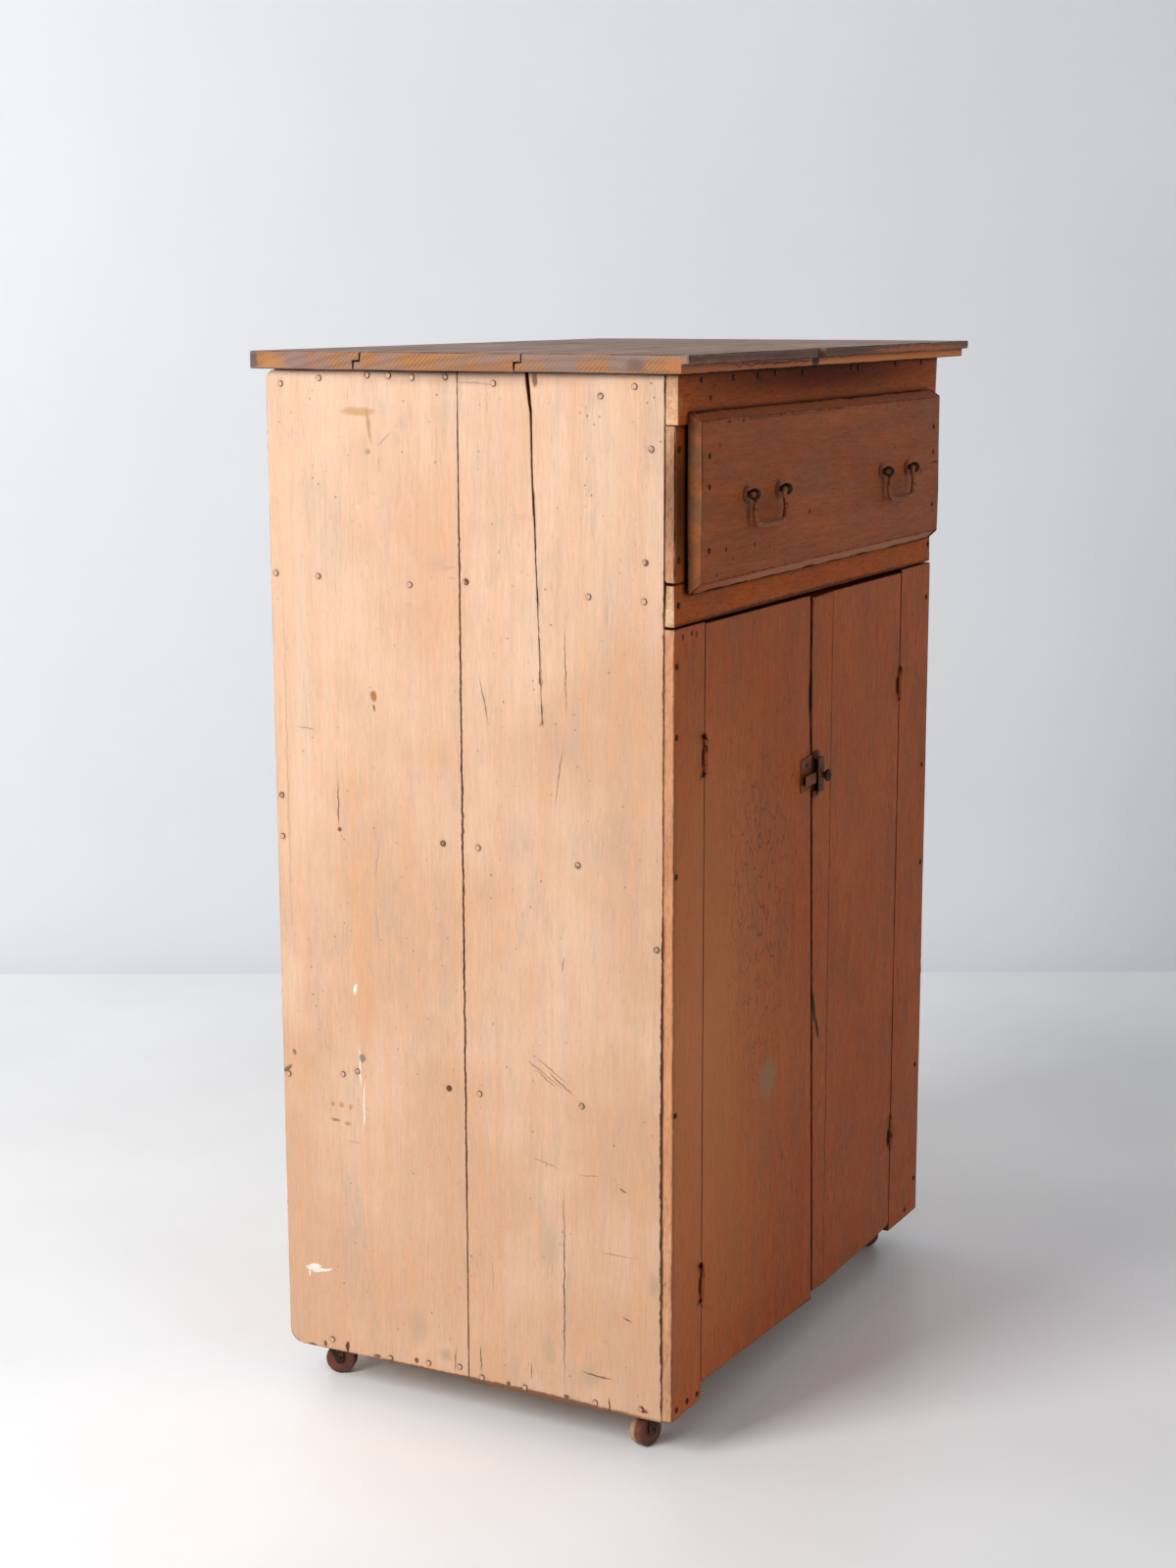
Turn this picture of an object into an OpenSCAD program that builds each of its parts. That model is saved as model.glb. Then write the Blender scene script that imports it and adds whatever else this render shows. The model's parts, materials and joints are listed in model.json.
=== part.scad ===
// Painted plank cupboard on casters: one drawer over a pair of doors, plank top.
// Millimetres. The front faces -Y, +Z is up, and the casters stand on z = 0.

/* [Carcass] */
// Width across the two sides
carcass_width = 818; // [720:1:920]
// Depth of the side boards, front to back
side_depth = 524; // [460:1:580]
// Height of the side boards
side_height = 1220; // [1150:1:1300]
// Thickness of the side boards
side_thickness = 20; // [17:0.5:23]
// Width of the front board of each side; the rear board fills the rest
side_front_width = 262; // [220:1:300]
// How far the front side boards hang below the rear ones
side_front_drop = 3; // [0:0.5:6]
// Radius of the worn rear top corners of the sides
side_top_round = 12; // [4:1:20]
// Radius of the worn rear bottom corners of the sides
side_bottom_round = 18; // [6:1:26]
// Thickness of the back boards
back_thickness = 14; // [10:0.5:18]
// Gap left between neighbouring back boards
back_gap = 1; // [0.5:0.5:3]
// Thickness of the two bottom boards
bottom_thickness = 19; // [15:0.5:22]
// Gap between the two bottom boards
bottom_gap = 1; // [0.5:0.5:3]
// Length of the drying split in the left side, down from the top
split_length = 400; // [150:10:600]
// Width of the split at the top
split_width = 4; // [2:0.5:6]
// Distance of the split behind the front edge of the side
split_from_front = 172; // [120:1:190]
// How far the split drifts towards the front on its way down
split_drift = 17; // [0:1:30]

/* [Top] */
// Thickness of the top boards
top_thickness = 21; // [17:0.5:25]
// Overhang of the top past the left side
top_overhang_left = 10; // [0:1:40]
// Overhang of the top past the right side
top_overhang_right = 80; // [0:1:100]
// Overhang of the top past the back
top_overhang_rear = 17; // [0:1:30]
// Overhang of the top's lip past the top rail
top_overhang_front = 17; // [12:1:30]
// Width of the front top board, lip included
top_front_width = 208; // [170:1:230]
// Width of the middle top board, lip included
top_middle_width = 213; // [170:1:230]
// Depth of the half-lap that joins the top boards
lap_depth = 9; // [5:0.5:14]
// Width of the broken notch in the front lip
notch_width = 24; // [10:1:40]
// Distance of the notch left of the middle of the carcass
notch_left = 42; // [0:1:120]

/* [Face frame] */
// Height of the top rail
top_rail_height = 56; // [45:1:70]
// Thickness of the top rail
top_rail_thickness = 17; // [15:0.5:20]
// Thickness of the drawer rail and the stiles
frame_thickness = 13; // [12.5:0.5:14.5]
// Height of the drawer opening
drawer_opening_height = 174; // [150:1:200]
// Height of the rail between drawer and doors
drawer_rail_height = 48; // [40:1:60]
// Width of the stile left of the drawer
left_upper_stile_width = 35; // [30:1:45]
// Width of the stile right of the drawer
right_upper_stile_width = 47; // [35:1:60]
// Width of the stile left of the doors
left_lower_stile_width = 80; // [60:1:100]
// Width of the stile right of the doors
right_lower_stile_width = 109; // [80:1:120]
// Gap between the drawer rail and the lower stiles
stile_gap = 2; // [0:0.5:4]

/* [Shelves] */
// Height of the upper shelf's underside above the side bottoms
upper_shelf_height = 656; // [560:1:700]
// Height of the lower shelf's underside above the side bottoms
lower_shelf_height = 358; // [260:1:420]
// Thickness of the shelves
shelf_thickness = 19; // [15:0.5:22]
// Height of the cleats under the shelves
shelf_cleat_height = 20; // [15:1:30]
// Width of the cleats under the shelves
shelf_cleat_width = 19; // [12:1:25]
// Height of the cleats under the top
top_cleat_height = 30; // [20:1:36]
// Width of the cleats under the top
top_cleat_width = 22; // [15:1:30]

/* [Doors] */
// Thickness of the door boards
door_thickness = 20; // [18:0.5:22]
// Gap between each door and its stile
hinge_gap = 2.5; // [2:0.1:3.5]
// Gap over the left door
left_door_top_gap = 4; // [2:0.5:8]
// Gap over the right door
right_door_top_gap = 6; // [2:0.5:8]
// Height of the left door's bottom above the side bottoms, at its hinges
left_door_lift = 20; // [4:1:24]
// Drop of the left door's bottom from its hinges to its free edge
left_door_sag = 18; // [0:1:19]
// Height of the right door's bottom above the side bottoms
right_door_lift = 9; // [4:1:24]
// Gap between the two doors at the bottom
meeting_gap = 3; // [2.5:0.5:6]
// How much wider the gap between the doors is at the top
meeting_flare = 4; // [0:0.5:6]
// Width of the narrow board at the free edge of the right door
narrow_board_width = 56; // [45:1:80]
// Height of the battens inside the doors
batten_height = 60; // [40:1:80]
// Thickness of the battens inside the doors
batten_thickness = 15; // [10:0.5:18]
// Distance of the battens from the doors' edges
batten_inset = 32; // [26:1:50]
// Height of the low battens' middle above the side bottoms
batten_low = 230; // [150:1:250]
// Height of the high battens' middle above the side bottoms
batten_high = 860; // [780:1:880]

/* [Hinges] */
// Height of each butt hinge
hinge_height = 42; // [34:1:60]
// Height of the lower hinges' middle above the side bottoms
hinge_low = 147; // [100:1:200]
// Height of the upper hinges' middle above the side bottoms
hinge_high = 786; // [740:1:820]
// Radius of the hinge barrels
barrel_radius = 3; // [2.6:0.1:3.4]
// Radius of the hinge pins
hinge_pin_radius = 1.5; // [1.2:0.1:1.7]
// Thickness of the hinge leaves
leaf_thickness = 1.4; // [1:0.1:1.6]
// Depth of the hinge leaves, front to back
leaf_depth = 11.5; // [9:0.5:12]

/* [Drawer] */
// Thickness of the drawer front
drawer_front_thickness = 17; // [14:0.5:20]
// How far the drawer front laps over the stiles
drawer_side_lap = 12; // [8:0.5:18]
// How far the drawer front laps over the rails
drawer_rail_lap = 13.5; // [8:0.5:18]
// Height of the bevel along the top and bottom of the drawer front
drawer_bevel = 9; // [4:0.5:14]
// Thickness of the drawer front's square edge behind the bevel
drawer_bevel_land = 4; // [2:0.5:8]
// Length of the drawer sides
drawer_length = 470; // [380:1:480]
// Height of the drawer sides
drawer_side_height = 140; // [110:1:144]
// Thickness of the drawer sides
drawer_side_thickness = 14; // [12:0.5:18]
// Thickness of the drawer back
drawer_back_thickness = 12; // [9:0.5:15]
// Thickness of the drawer bottom
drawer_bottom_thickness = 8; // [5:0.5:10]
// Depth of the grooves that hold the drawer bottom
drawer_groove = 5; // [3:0.5:7]
// Play of the drawer on each side
drawer_side_play = 2; // [1:0.5:3]
// Height of the drawer runners
runner_height = 25; // [18:1:34]
// Height of the guides on the runners
guide_height = 20; // [12:1:30]

/* [Drawer pulls] */
// Distance from each pull's middle to the middle of the drawer
pull_offset = 213; // [150:1:250]
// Distance between a pull's two posts
pull_spacing = 93; // [80:1:110]
// Distance of the bail's axis in front of the drawer
pull_reach = 11; // [9.5:0.5:15]
// Radius of the bail's wire
bail_radius = 2; // [1.5:0.1:2.3]
// Radius of the posts' eyes
post_eye_radius = 6; // [5:0.1:7]
// Width of the posts' eyes
post_eye_width = 5; // [4:0.5:7]
// Radius of the posts' rosettes
post_rosette_radius = 7; // [5.5:0.5:9]

/* [Latch] */
// Height of the latch's knob above the side bottoms
latch_height = 709; // [600:1:760]
// Length of the latch's tongue from the knob's axis
tongue_length = 19; // [17.5:0.5:24]
// Width of the tongue
tongue_width = 8; // [5:0.5:9]
// Radius of the knob
knob_radius = 8; // [6:0.5:11]
// Radius of the knob's spindle
spindle_radius = 2.5; // [2:0.1:3]
// Depth of the latch's case, front to back
latch_case_depth = 9; // [8:0.5:12]
// Width of the keeper
keeper_width = 32; // [24:1:40]

/* [Casters] */
// Height from the floor to the side bottoms
caster_height = 50; // [47:0.5:58]
// Radius of the wheels
wheel_radius = 19; // [17:0.5:20]
// Width of the wheels
wheel_width = 19; // [14:0.5:24]
// Radius of the axles
axle_radius = 3; // [2:0.1:4]
// Distance from the swivel's axis to the axle
caster_trail = 12; // [8:0.5:14]
// Length of the square plates
caster_plate_size = 42; // [36:1:50]
// Thickness of the plates
caster_plate_thickness = 2.5; // [2:0.1:3]
// Distance from the outside of the cupboard to the swivels, sideways
caster_inset_x = 45; // [44:1:70]
// Distance from the outside of the cupboard to the swivels, front and back
caster_inset_y = 34; // [30:1:60]

/* [Hidden] */
$fn = 48;
cut = 1;             // how far a cutting shape runs past the face that it cuts
touch = 0.3;         // clearance between a moving piece and what it rests against

// Paint and bare materials
paint_lit = "#e3ab83";
paint_deep = "#a2603c";
bare_pine = "#b98a5a";
dark_top = "#5a3a2c";
old_iron = "#3b2a22";
rusty_iron = "#6e4326";
caster_wood = "#5b3326";

// Levels
side_z = caster_height;
top_z = side_z + side_height;
top_rail_z = top_z - top_rail_height;
drawer_floor_z = top_rail_z - drawer_opening_height;
door_head_z = drawer_floor_z - drawer_rail_height;
latch_z = side_z + latch_height;

// Planes across the width
left_x = -carcass_width / 2;
right_x = carcass_width / 2;
left_inner_x = left_x + side_thickness;
right_inner_x = right_x - side_thickness;
inner_width = right_inner_x - left_inner_x;

// Planes front to back
front_y = -side_depth / 2;
rear_y = side_depth / 2;
side_joint_y = front_y + side_front_width;
back_y = rear_y - back_thickness;
frame_face_y = front_y - frame_thickness;
rail_face_y = front_y - top_rail_thickness;
door_back_y = frame_face_y + door_thickness;
door_play = 2;       // between the backs of the doors and what lies behind them
drawer_back_face_y = rail_face_y - touch;
drawer_face_y = drawer_back_face_y - drawer_front_thickness;

// Drawer opening and box
drawer_left_x = left_x + left_upper_stile_width;
drawer_right_x = right_x - right_upper_stile_width;
drawer_middle_x = (drawer_left_x + drawer_right_x) / 2;
drawer_box_left_x = drawer_left_x + drawer_side_play;
drawer_box_right_x = drawer_right_x - drawer_side_play;
drawer_box_z = drawer_floor_z + touch;
drawer_box_rear_y = drawer_back_face_y + drawer_length;
drawer_bottom_rise = 8;
groove_play = 0.2;

// Doors
left_hinge_x = left_x + left_lower_stile_width + hinge_gap / 2;
right_hinge_x = right_x - right_lower_stile_width - hinge_gap / 2;
left_door_x = left_hinge_x + hinge_gap / 2;
right_door_x = right_hinge_x - hinge_gap / 2;
left_door_top_z = door_head_z - left_door_top_gap;
right_door_top_z = door_head_z - right_door_top_gap;
left_door_low_z = side_z + left_door_lift - left_door_sag;
// Where the doors meet, from the bottom up: [share of the door's height, place across the front]
meeting_line = [[0, 17], [0.3, 8], [0.47, 1.5], [0.745, -8], [0.87, -14.5], [1, -15]];
joint_play = 0.4;     // between the ends or edges of two fixed boards

// Hinges
pin_proud = 1;       // how far the hinge axis stands in front of the face frame
hinge_y = frame_face_y - pin_proud;
pin_play = 0.05;
pin_tip = 1.2;       // height of the rounded ends of the hinge pins
mortise_play = 0.1;
barrel_play = 0.5;
knuckle_gap = 0.3;
hinge_levels = [side_z + hinge_low, side_z + hinge_high];

// Latch
latch_wall = 1.5;
latch_x = 4;         // knob's axis, right of the middle of the carcass
latch_case_left_x = -4;
latch_case_right_x = latch_x + tongue_width / 2 + 3 + latch_wall;
latch_half_height = sqrt(pow(tongue_length, 2) + pow(tongue_width / 2, 2)) + 1;
latch_ring = 1.5;      // how far the ring behind the knob stands out of the case
latch_ring_margin = 3; // how much wider the ring is than the spindle
latch_lug = 7;
latch_lug_thickness = 2;
latch_screw_radius = 1.6;
latch_screw_length = 14;
screw_head = 1;
screw_head_margin = 1.2;
tongue_thickness = 2.5;
tongue_y = frame_face_y - 3.3;
knob_neck = 7;
knob_round = 3;
knob_crown = 1;
keeper_right_x = -11;
keeper_left_x = keeper_right_x - keeper_width;
keeper_plate = 1.5;
keeper_lip = 1.5;
keeper_lip_y = tongue_y - tongue_thickness - 0.8;
keeper_floor = 2;
keeper_floor_z = latch_z - tongue_width / 2 - 2.5;
keeper_lip_z = latch_z + tongue_width / 2 + 1;
keeper_below = [10, 8];  // how far the plate reaches below the hook, at its left and right edge
keeper_above = [19, 22]; // and above the hook's lip
keeper_screw_z = keeper_lip_z + 11;

// Casters: [x side, y side, angle of the trail seen from above]
casters = [[-1, -1, 162], [1, -1, 114], [-1, 1, -72], [1, 1, 40]];
swivel_x = carcass_width / 2 - caster_inset_x;
swivel_y = side_depth / 2 - caster_inset_y;
wheel_play = 0.8;
arm_thickness = 2.5;
arm_y = wheel_width / 2 + wheel_play;
crown_thickness = 3;
plate_boss = 1.2;
plate_boss_radius = 10;
king_pin_radius = 4;
crown_top_z = side_z - caster_plate_thickness - plate_boss - touch;
crown_z = crown_top_z - crown_thickness;
rivet_head = 1.5;
rivet_head_radius = 6;
axle_head = 1.5;
axle_boss = 2.5;
fork_tail = 6;       // how far the fork reaches behind its swivel
fork_nose = 4;       // how far its crown reaches past the axle
fork_heel = 2;       // height of the arms' square end below the crown
caster_screw_radius = 1.8;
caster_screw_length = 14;
caster_screw_edge = 6;

// Nails
nail_head_radius = 2.8;
nail_head = 0.8;
nail_radius = 1.2;
nail_length = 36;
side_pin_length = side_thickness / 2 - nail_radius - 1;  // ends short of the frame's nails
// Uneven rows of nails in each side: the row's height above the side bottoms, then for
// each nail [share of the depth from the front, how far above the row it was driven]
side_nail_rows = [
    [side_height, [[0.07, -14], [0.15, -25], [0.41, -13], [0.53, -7], [0.615, -8], [0.675, -6],
        [0.73, -6], [0.857, -10], [0.96, -17]]],
    [drawer_floor_z - side_z - runner_height / 2, [[0.047, -8], [0.18, -6], [0.484, 3],
        [0.628, -4], [0.87, 0], [0.985, 1]]],
    [upper_shelf_height + shelf_thickness / 2, [[0.208, -5], [0.46, 3], [0.551, 3.5], [0.985, 42],
        [0.985, -9]]],
    [lower_shelf_height + shelf_thickness / 2, [[0.2, 5], [0.463, 0], [0.544, 1], [0.792, 4],
        [0.832, -2.5], [0.985, -13]]],
    [bottom_thickness / 2, [[0.051, 0.5], [0.168, -4], [0.351, -4], [0.465, -3], [0.525, 4.5],
        [0.61, 0.5], [0.715, -3.5], [0.878, 4.5]]]
];
// Short pins near the front edge of each side: [distance from the front, height above the side bottoms]
side_pins = [[16, side_height - 82], [23, side_height - 207], [8, side_height - 648]];
// Nails along the top rail: [share of its width, distance below its top]
rail_nails = [[0.071, 8], [0.176, 8], [0.261, 8], [0.324, 6], [0.424, 8], [0.616, 6], [0.645, 7],
    [0.806, 5], [0.923, 5]];
// Nails in the lower stiles: [distance from the outer edge, share of the stile's height]
left_stile_nails = [[6, 0.955], [6, 0.87], [6, 0.7], [6, 0.4], [42, 0.012], [70, 0.01], [13, 0.012]];
right_stile_nails = [[12, 0.95], [16, 0.7], [12, 0.55], [16, 0.235], [11, 0.052], [45, 0.012]];
// Nails in the ends of the drawer front, as shares of its height
drawer_nail_shares = [0.24, 0.59, 0.76];

// The pieces are modelled about the middle of the side boards, and the whole is
// then moved so that the middle of its outer box stands over the origin.
reach_front = -(drawer_face_y - pull_reach - post_eye_radius);
reach_rear = rear_y + top_overhang_rear;
shift_x = (top_overhang_left - top_overhang_right) / 2;
shift_y = (reach_front - reach_rear) / 2;

function arc(centre, radius, from, to, steps = 6) =
    [for (i = [0:steps]) let (a = from + (to - from) * i / steps)
        [centre[0] + radius * cos(a), centre[1] + radius * sin(a)]];
function meeting_z(share, top) = side_z + share * (top - side_z);
function mixed(a, b, share) = a + (b - a) * share;
function reversed(list) = [for (i = [len(list) - 1:-1:0]) list[i]];
function meeting_width(share) = meeting_gap + meeting_flare * share;

module place() {
    translate([shift_x, shift_y, 0]) children();
}

module box(low, high) {
    translate(low) cube(high - low);
}

// A flat outline of [y, z] points, as thick as a side board, standing at x
module side_outline(x, outline) {
    translate([x, 0, 0]) rotate([90, 0, 90]) linear_extrude(side_thickness) polygon(outline);
}

// A flat outline of [x, z] points with its back at y and its front nearer the viewer
module front_outline(y, thickness, outline) {
    translate([0, y, 0]) rotate([90, 0, 0]) linear_extrude(thickness) polygon(outline);
}

// A cylinder along y whose front end is at y
module peg(x, y, z, radius, length) {
    translate([x, y, z]) rotate([-90, 0, 0]) cylinder(r = radius, h = length);
}

// Carcass

module side_front(x) {
    side_outline(x, [
        [front_y, side_z - side_front_drop], [side_joint_y, side_z - side_front_drop],
        [side_joint_y, top_z], [front_y, top_z]
    ]);
}

module side_rear(x) {
    side_outline(x, concat(
        [[side_joint_y, top_z], [side_joint_y, side_z]],
        arc([rear_y - side_bottom_round, side_z + side_bottom_round], side_bottom_round, -90, 0),
        arc([rear_y - side_top_round, top_z - side_top_round], side_top_round, 0, 90)
    ));
}

// The split's way down: [share of its length, share of its drift, share of its width]
split_path = [[0.11, 0.3, 0.6], [0.26, 0.35, 0.35], [0.59, 0.65, 0.3], [1, 1, 0]];

// One edge of the split, from above the top of the board down to its end
function split_edge(way) =
    let (y = front_y + split_from_front)
    concat([[y + way * split_width / 2, top_z + cut]], [for (p = split_path)
        [y - p[1] * split_drift + way * p[2] * split_width / 2, top_z - p[0] * split_length]]);

module drying_split() {
    translate([left_x - cut, 0, 0]) rotate([90, 0, 90]) linear_extrude(side_thickness + 2 * cut)
        polygon(concat(split_edge(-1), reversed(split_edge(1))));
}

module left_side_front_board() {
    color(paint_lit) difference() {
        side_front(left_x);
        drying_split();
    }
}

module left_side_rear_board() {
    color(paint_lit) side_rear(left_x);
}

module right_side_front_board() {
    color(paint_deep) side_front(right_inner_x);
}

module right_side_rear_board() {
    color(paint_deep) side_rear(right_inner_x);
}

module back_board(number) {
    width = (inner_width - 3 * back_gap) / 4;
    x = left_inner_x + (number - 1) * (width + back_gap);
    color(bare_pine) box([x, back_y, side_z], [x + width, rear_y, top_z]);
}

module bottom_board(front) {
    middle_y = (door_back_y + back_y) / 2;
    color(bare_pine) box(
        [left_inner_x, front ? door_back_y + door_play : middle_y + bottom_gap / 2, side_z],
        [right_inner_x, front ? middle_y - bottom_gap / 2 : back_y, side_z + bottom_thickness]);
}

// Cleats under the top, along the sides and between them at the front and back
module top_cleats() {
    z = top_z - top_cleat_height;
    x1 = left_inner_x + top_cleat_width;
    x2 = right_inner_x - top_cleat_width;
    color(bare_pine) {
        box([left_inner_x, front_y, z], [x1, back_y, top_z]);
        box([x2, front_y, z], [right_inner_x, back_y, top_z]);
        box([x1 + joint_play, front_y, z], [x2 - joint_play, front_y + top_cleat_width, top_z]);
        box([x1 + joint_play, back_y - top_cleat_width, z], [x2 - joint_play, back_y, top_z]);
    }
}

// Plank top, laid left to right: each board's upper half laps over the next board forward

top_front_y = rail_face_y - top_overhang_front;
top_rear_y = rear_y + top_overhang_rear;
top_joint_1_y = top_front_y + top_front_width;
top_joint_2_y = top_joint_1_y + top_middle_width;

module top_board(front, rear, rear_lip) {
    x1 = left_x - top_overhang_left;
    x2 = right_x + top_overhang_right;
    half = top_z + top_thickness / 2;
    lip_rear = rear_lip ? lap_depth : 0;
    translate([x1, 0, 0]) rotate([90, 0, 90]) linear_extrude(x2 - x1) polygon([
        [front, top_z + top_thickness], [front, half],
        [front + lap_depth, half], [front + lap_depth, top_z],
        [rear + lip_rear, top_z], [rear + lip_rear, half],
        [rear, half], [rear, top_z + top_thickness]
    ]);
}

module top_front_board() {
    color(dark_top) difference() {
        top_board(top_front_y, top_joint_1_y, true);
        box([-notch_left - notch_width / 2, top_front_y - cut, top_z - cut],
            [-notch_left + notch_width / 2, top_front_y + lap_depth, top_z + top_thickness + cut]);
    }
}

module top_middle_board() {
    color(dark_top) top_board(top_joint_1_y, top_joint_2_y, true);
}

module top_rear_board() {
    color(dark_top) top_board(top_joint_2_y, top_rear_y, false);
}

// Face frame

module top_rail() {
    color(paint_deep) box([left_x, rail_face_y, top_rail_z], [right_x, front_y, top_z]);
}

module drawer_rail() {
    color(paint_deep) box([left_x, frame_face_y, door_head_z], [right_x, front_y, drawer_floor_z]);
}

module upper_stile(x, width) {
    color(paint_deep) box([x, frame_face_y, drawer_floor_z], [x + width, front_y, top_rail_z]);
}

module lower_stile(x, width, hinge_x, side) {
    color(paint_deep) difference() {
        box([x, frame_face_y, side_z], [x + width, front_y, door_head_z - stile_gap]);
        at_hinges(hinge_x, side) frame_mortise();
    }
}

// Shelves and drawer support

module shelf(height) {
    z = side_z + height;
    color(bare_pine) box([left_inner_x, door_back_y + batten_thickness + door_play, z],
        [right_inner_x, back_y, z + shelf_thickness]);
}

module shelf_cleats() {
    for (height = [lower_shelf_height, upper_shelf_height])
        for (x = [left_inner_x, right_inner_x - shelf_cleat_width])
            color(bare_pine) box(
                [x, door_back_y + batten_thickness + door_play, side_z + height - shelf_cleat_height],
                [x + shelf_cleat_width, back_y, side_z + height]);
}

runner_overlap = drawer_side_play + drawer_side_thickness + 8;

// Runners that carry the drawer, each with a guide on it beside the drawer
module drawer_runners() {
    z = drawer_floor_z - runner_height;
    color(bare_pine) {
        box([left_inner_x, front_y, z], [drawer_left_x + runner_overlap, back_y, drawer_floor_z]);
        box([drawer_right_x - runner_overlap, front_y, z], [right_inner_x, back_y, drawer_floor_z]);
        box([left_inner_x, front_y, drawer_floor_z],
            [drawer_left_x, back_y, drawer_floor_z + guide_height]);
        box([drawer_right_x, front_y, drawer_floor_z],
            [right_inner_x, back_y, drawer_floor_z + guide_height]);
    }
}

// Hinges. Each is drawn about its pin, with its door towards +x, and mirrored for the right door.

module at_hinges(x, side) {
    for (z = hinge_levels)
        translate([x, hinge_y, z]) mirror([side < 0 ? 0 : 1, 0, 0]) children();
}

knuckle_z = hinge_height / 4;
leaf_end_y = pin_proud + leaf_depth;

module frame_leaf() {
    difference() {
        union() {
            box([-hinge_gap / 2 - leaf_thickness, 0, -hinge_height / 2],
                [-hinge_gap / 2, leaf_end_y, hinge_height / 2]);
            for (end = [-1, 1])
                translate([0, 0, end * (knuckle_z + hinge_height / 2) / 2])
                    cylinder(r = barrel_radius, h = hinge_height / 2 - knuckle_z, center = true);
        }
        translate([0, 0, -knuckle_z])
            cylinder(r = barrel_radius + knuckle_gap, h = 2 * knuckle_z);
        translate([0, 0, -hinge_height / 2 - cut])
            cylinder(r = hinge_pin_radius, h = hinge_height + 2 * cut);
    }
}

module door_leaf() {
    half = knuckle_z - knuckle_gap;
    difference() {
        union() {
            box([hinge_gap / 2, 0, -hinge_height / 2],
                [hinge_gap / 2 + leaf_thickness, leaf_end_y, hinge_height / 2]);
            translate([0, 0, -half]) cylinder(r = barrel_radius, h = 2 * half);
        }
        for (low = [-hinge_height / 2 - cut, half])
            translate([0, 0, low])
                cylinder(r = barrel_radius + knuckle_gap, h = hinge_height / 2 - half + cut);
        translate([0, 0, -hinge_height / 2 - cut])
            cylinder(r = hinge_pin_radius + pin_play, h = hinge_height + 2 * cut);
    }
}

module barrel_recess() {
    h = hinge_height + 2 * (pin_tip + barrel_play);
    translate([0, 0, -h / 2]) cylinder(r = barrel_radius + barrel_play, h = h);
}

module frame_mortise() {
    barrel_recess();
    box([-hinge_gap / 2 - leaf_thickness - mortise_play, 0, -hinge_height / 2 - mortise_play],
        [0, leaf_end_y + mortise_play, hinge_height / 2 + mortise_play]);
}

module door_mortise() {
    barrel_recess();
    box([0, 0, -hinge_height / 2 - mortise_play],
        [hinge_gap / 2 + leaf_thickness + mortise_play, leaf_end_y + mortise_play,
            hinge_height / 2 + mortise_play]);
}

module hinge_frame_leaves() {
    color(rusty_iron) {
        at_hinges(left_hinge_x, -1) frame_leaf();
        at_hinges(right_hinge_x, 1) frame_leaf();
    }
}

module hinge_pins() {
    for (x = [left_hinge_x, right_hinge_x])
        color(old_iron) at_hinges(x, -1) {
            translate([0, 0, -hinge_height / 2]) cylinder(r = hinge_pin_radius, h = hinge_height);
            for (low = [-hinge_height / 2 - pin_tip, hinge_height / 2])
                translate([0, 0, low]) cylinder(r = (hinge_pin_radius + barrel_radius) / 2, h = pin_tip);
        }
}

// Doors

// The free edge of the left door, from the bottom up
function left_free_edge() =
    [for (p = meeting_line) let (top = left_door_top_z)
        [p[1] - meeting_width(p[0]) / 2, p[0] == 0 ? left_door_low_z : meeting_z(p[0], top)]];

// The free edge of the right door, from the bottom up, moved right by a distance
function right_free_edge(away = 0) =
    [for (p = meeting_line) let (low = side_z + right_door_lift, top = right_door_top_z)
        [p[1] + meeting_width(p[0]) / 2 + away, p[0] == 0 ? low : meeting_z(p[0], top)]];

module left_door_board() {
    color(paint_deep) difference() {
        front_outline(door_back_y, door_thickness, concat(
            [[left_door_x, left_door_top_z], [left_door_x, side_z + left_door_lift]],
            left_free_edge()));
        at_hinges(left_hinge_x, -1) door_mortise();
    }
}

module right_door_narrow_board() {
    color(paint_deep) front_outline(door_back_y, door_thickness, concat(
        right_free_edge(),
        [[narrow_board_width, right_door_top_z], [narrow_board_width, side_z + right_door_lift]]));
}

module right_door_wide_board() {
    color(paint_deep) difference() {
        box([narrow_board_width + joint_play, frame_face_y, side_z + right_door_lift],
            [right_door_x, door_back_y, right_door_top_z]);
        at_hinges(right_hinge_x, 1) door_mortise();
    }
}

// Battens across the backs of the doors, clear of the doors' edges
module battens(low_x, high_x) {
    for (height = [batten_low, batten_high])
        color(bare_pine) box([low_x, door_back_y, side_z + height - batten_height / 2],
            [high_x, door_back_y + batten_thickness, side_z + height + batten_height / 2]);
}

module left_door_battens() {
    battens(left_door_x + batten_inset, -batten_inset);
}

module right_door_battens() {
    battens(batten_inset, right_door_x - batten_inset);
}

module left_door_hinge_leaves() {
    color(rusty_iron) at_hinges(left_hinge_x, -1) door_leaf();
}

module right_door_hinge_leaves() {
    color(rusty_iron) at_hinges(right_hinge_x, 1) door_leaf();
}

// Latch: a case with a turning knob on the right door, and a hooked keeper on the left one

module latch_screw(x, z, y) {
    color(old_iron) {
        peg(x, y - screw_head, z, latch_screw_radius + screw_head_margin, screw_head);
        peg(x, y, z, latch_screw_radius, latch_screw_length);
    }
}

latch_lug_z = latch_half_height + latch_wall + latch_lug / 2;
latch_lug_x = (latch_case_left_x + latch_case_right_x) / 2;

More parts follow.
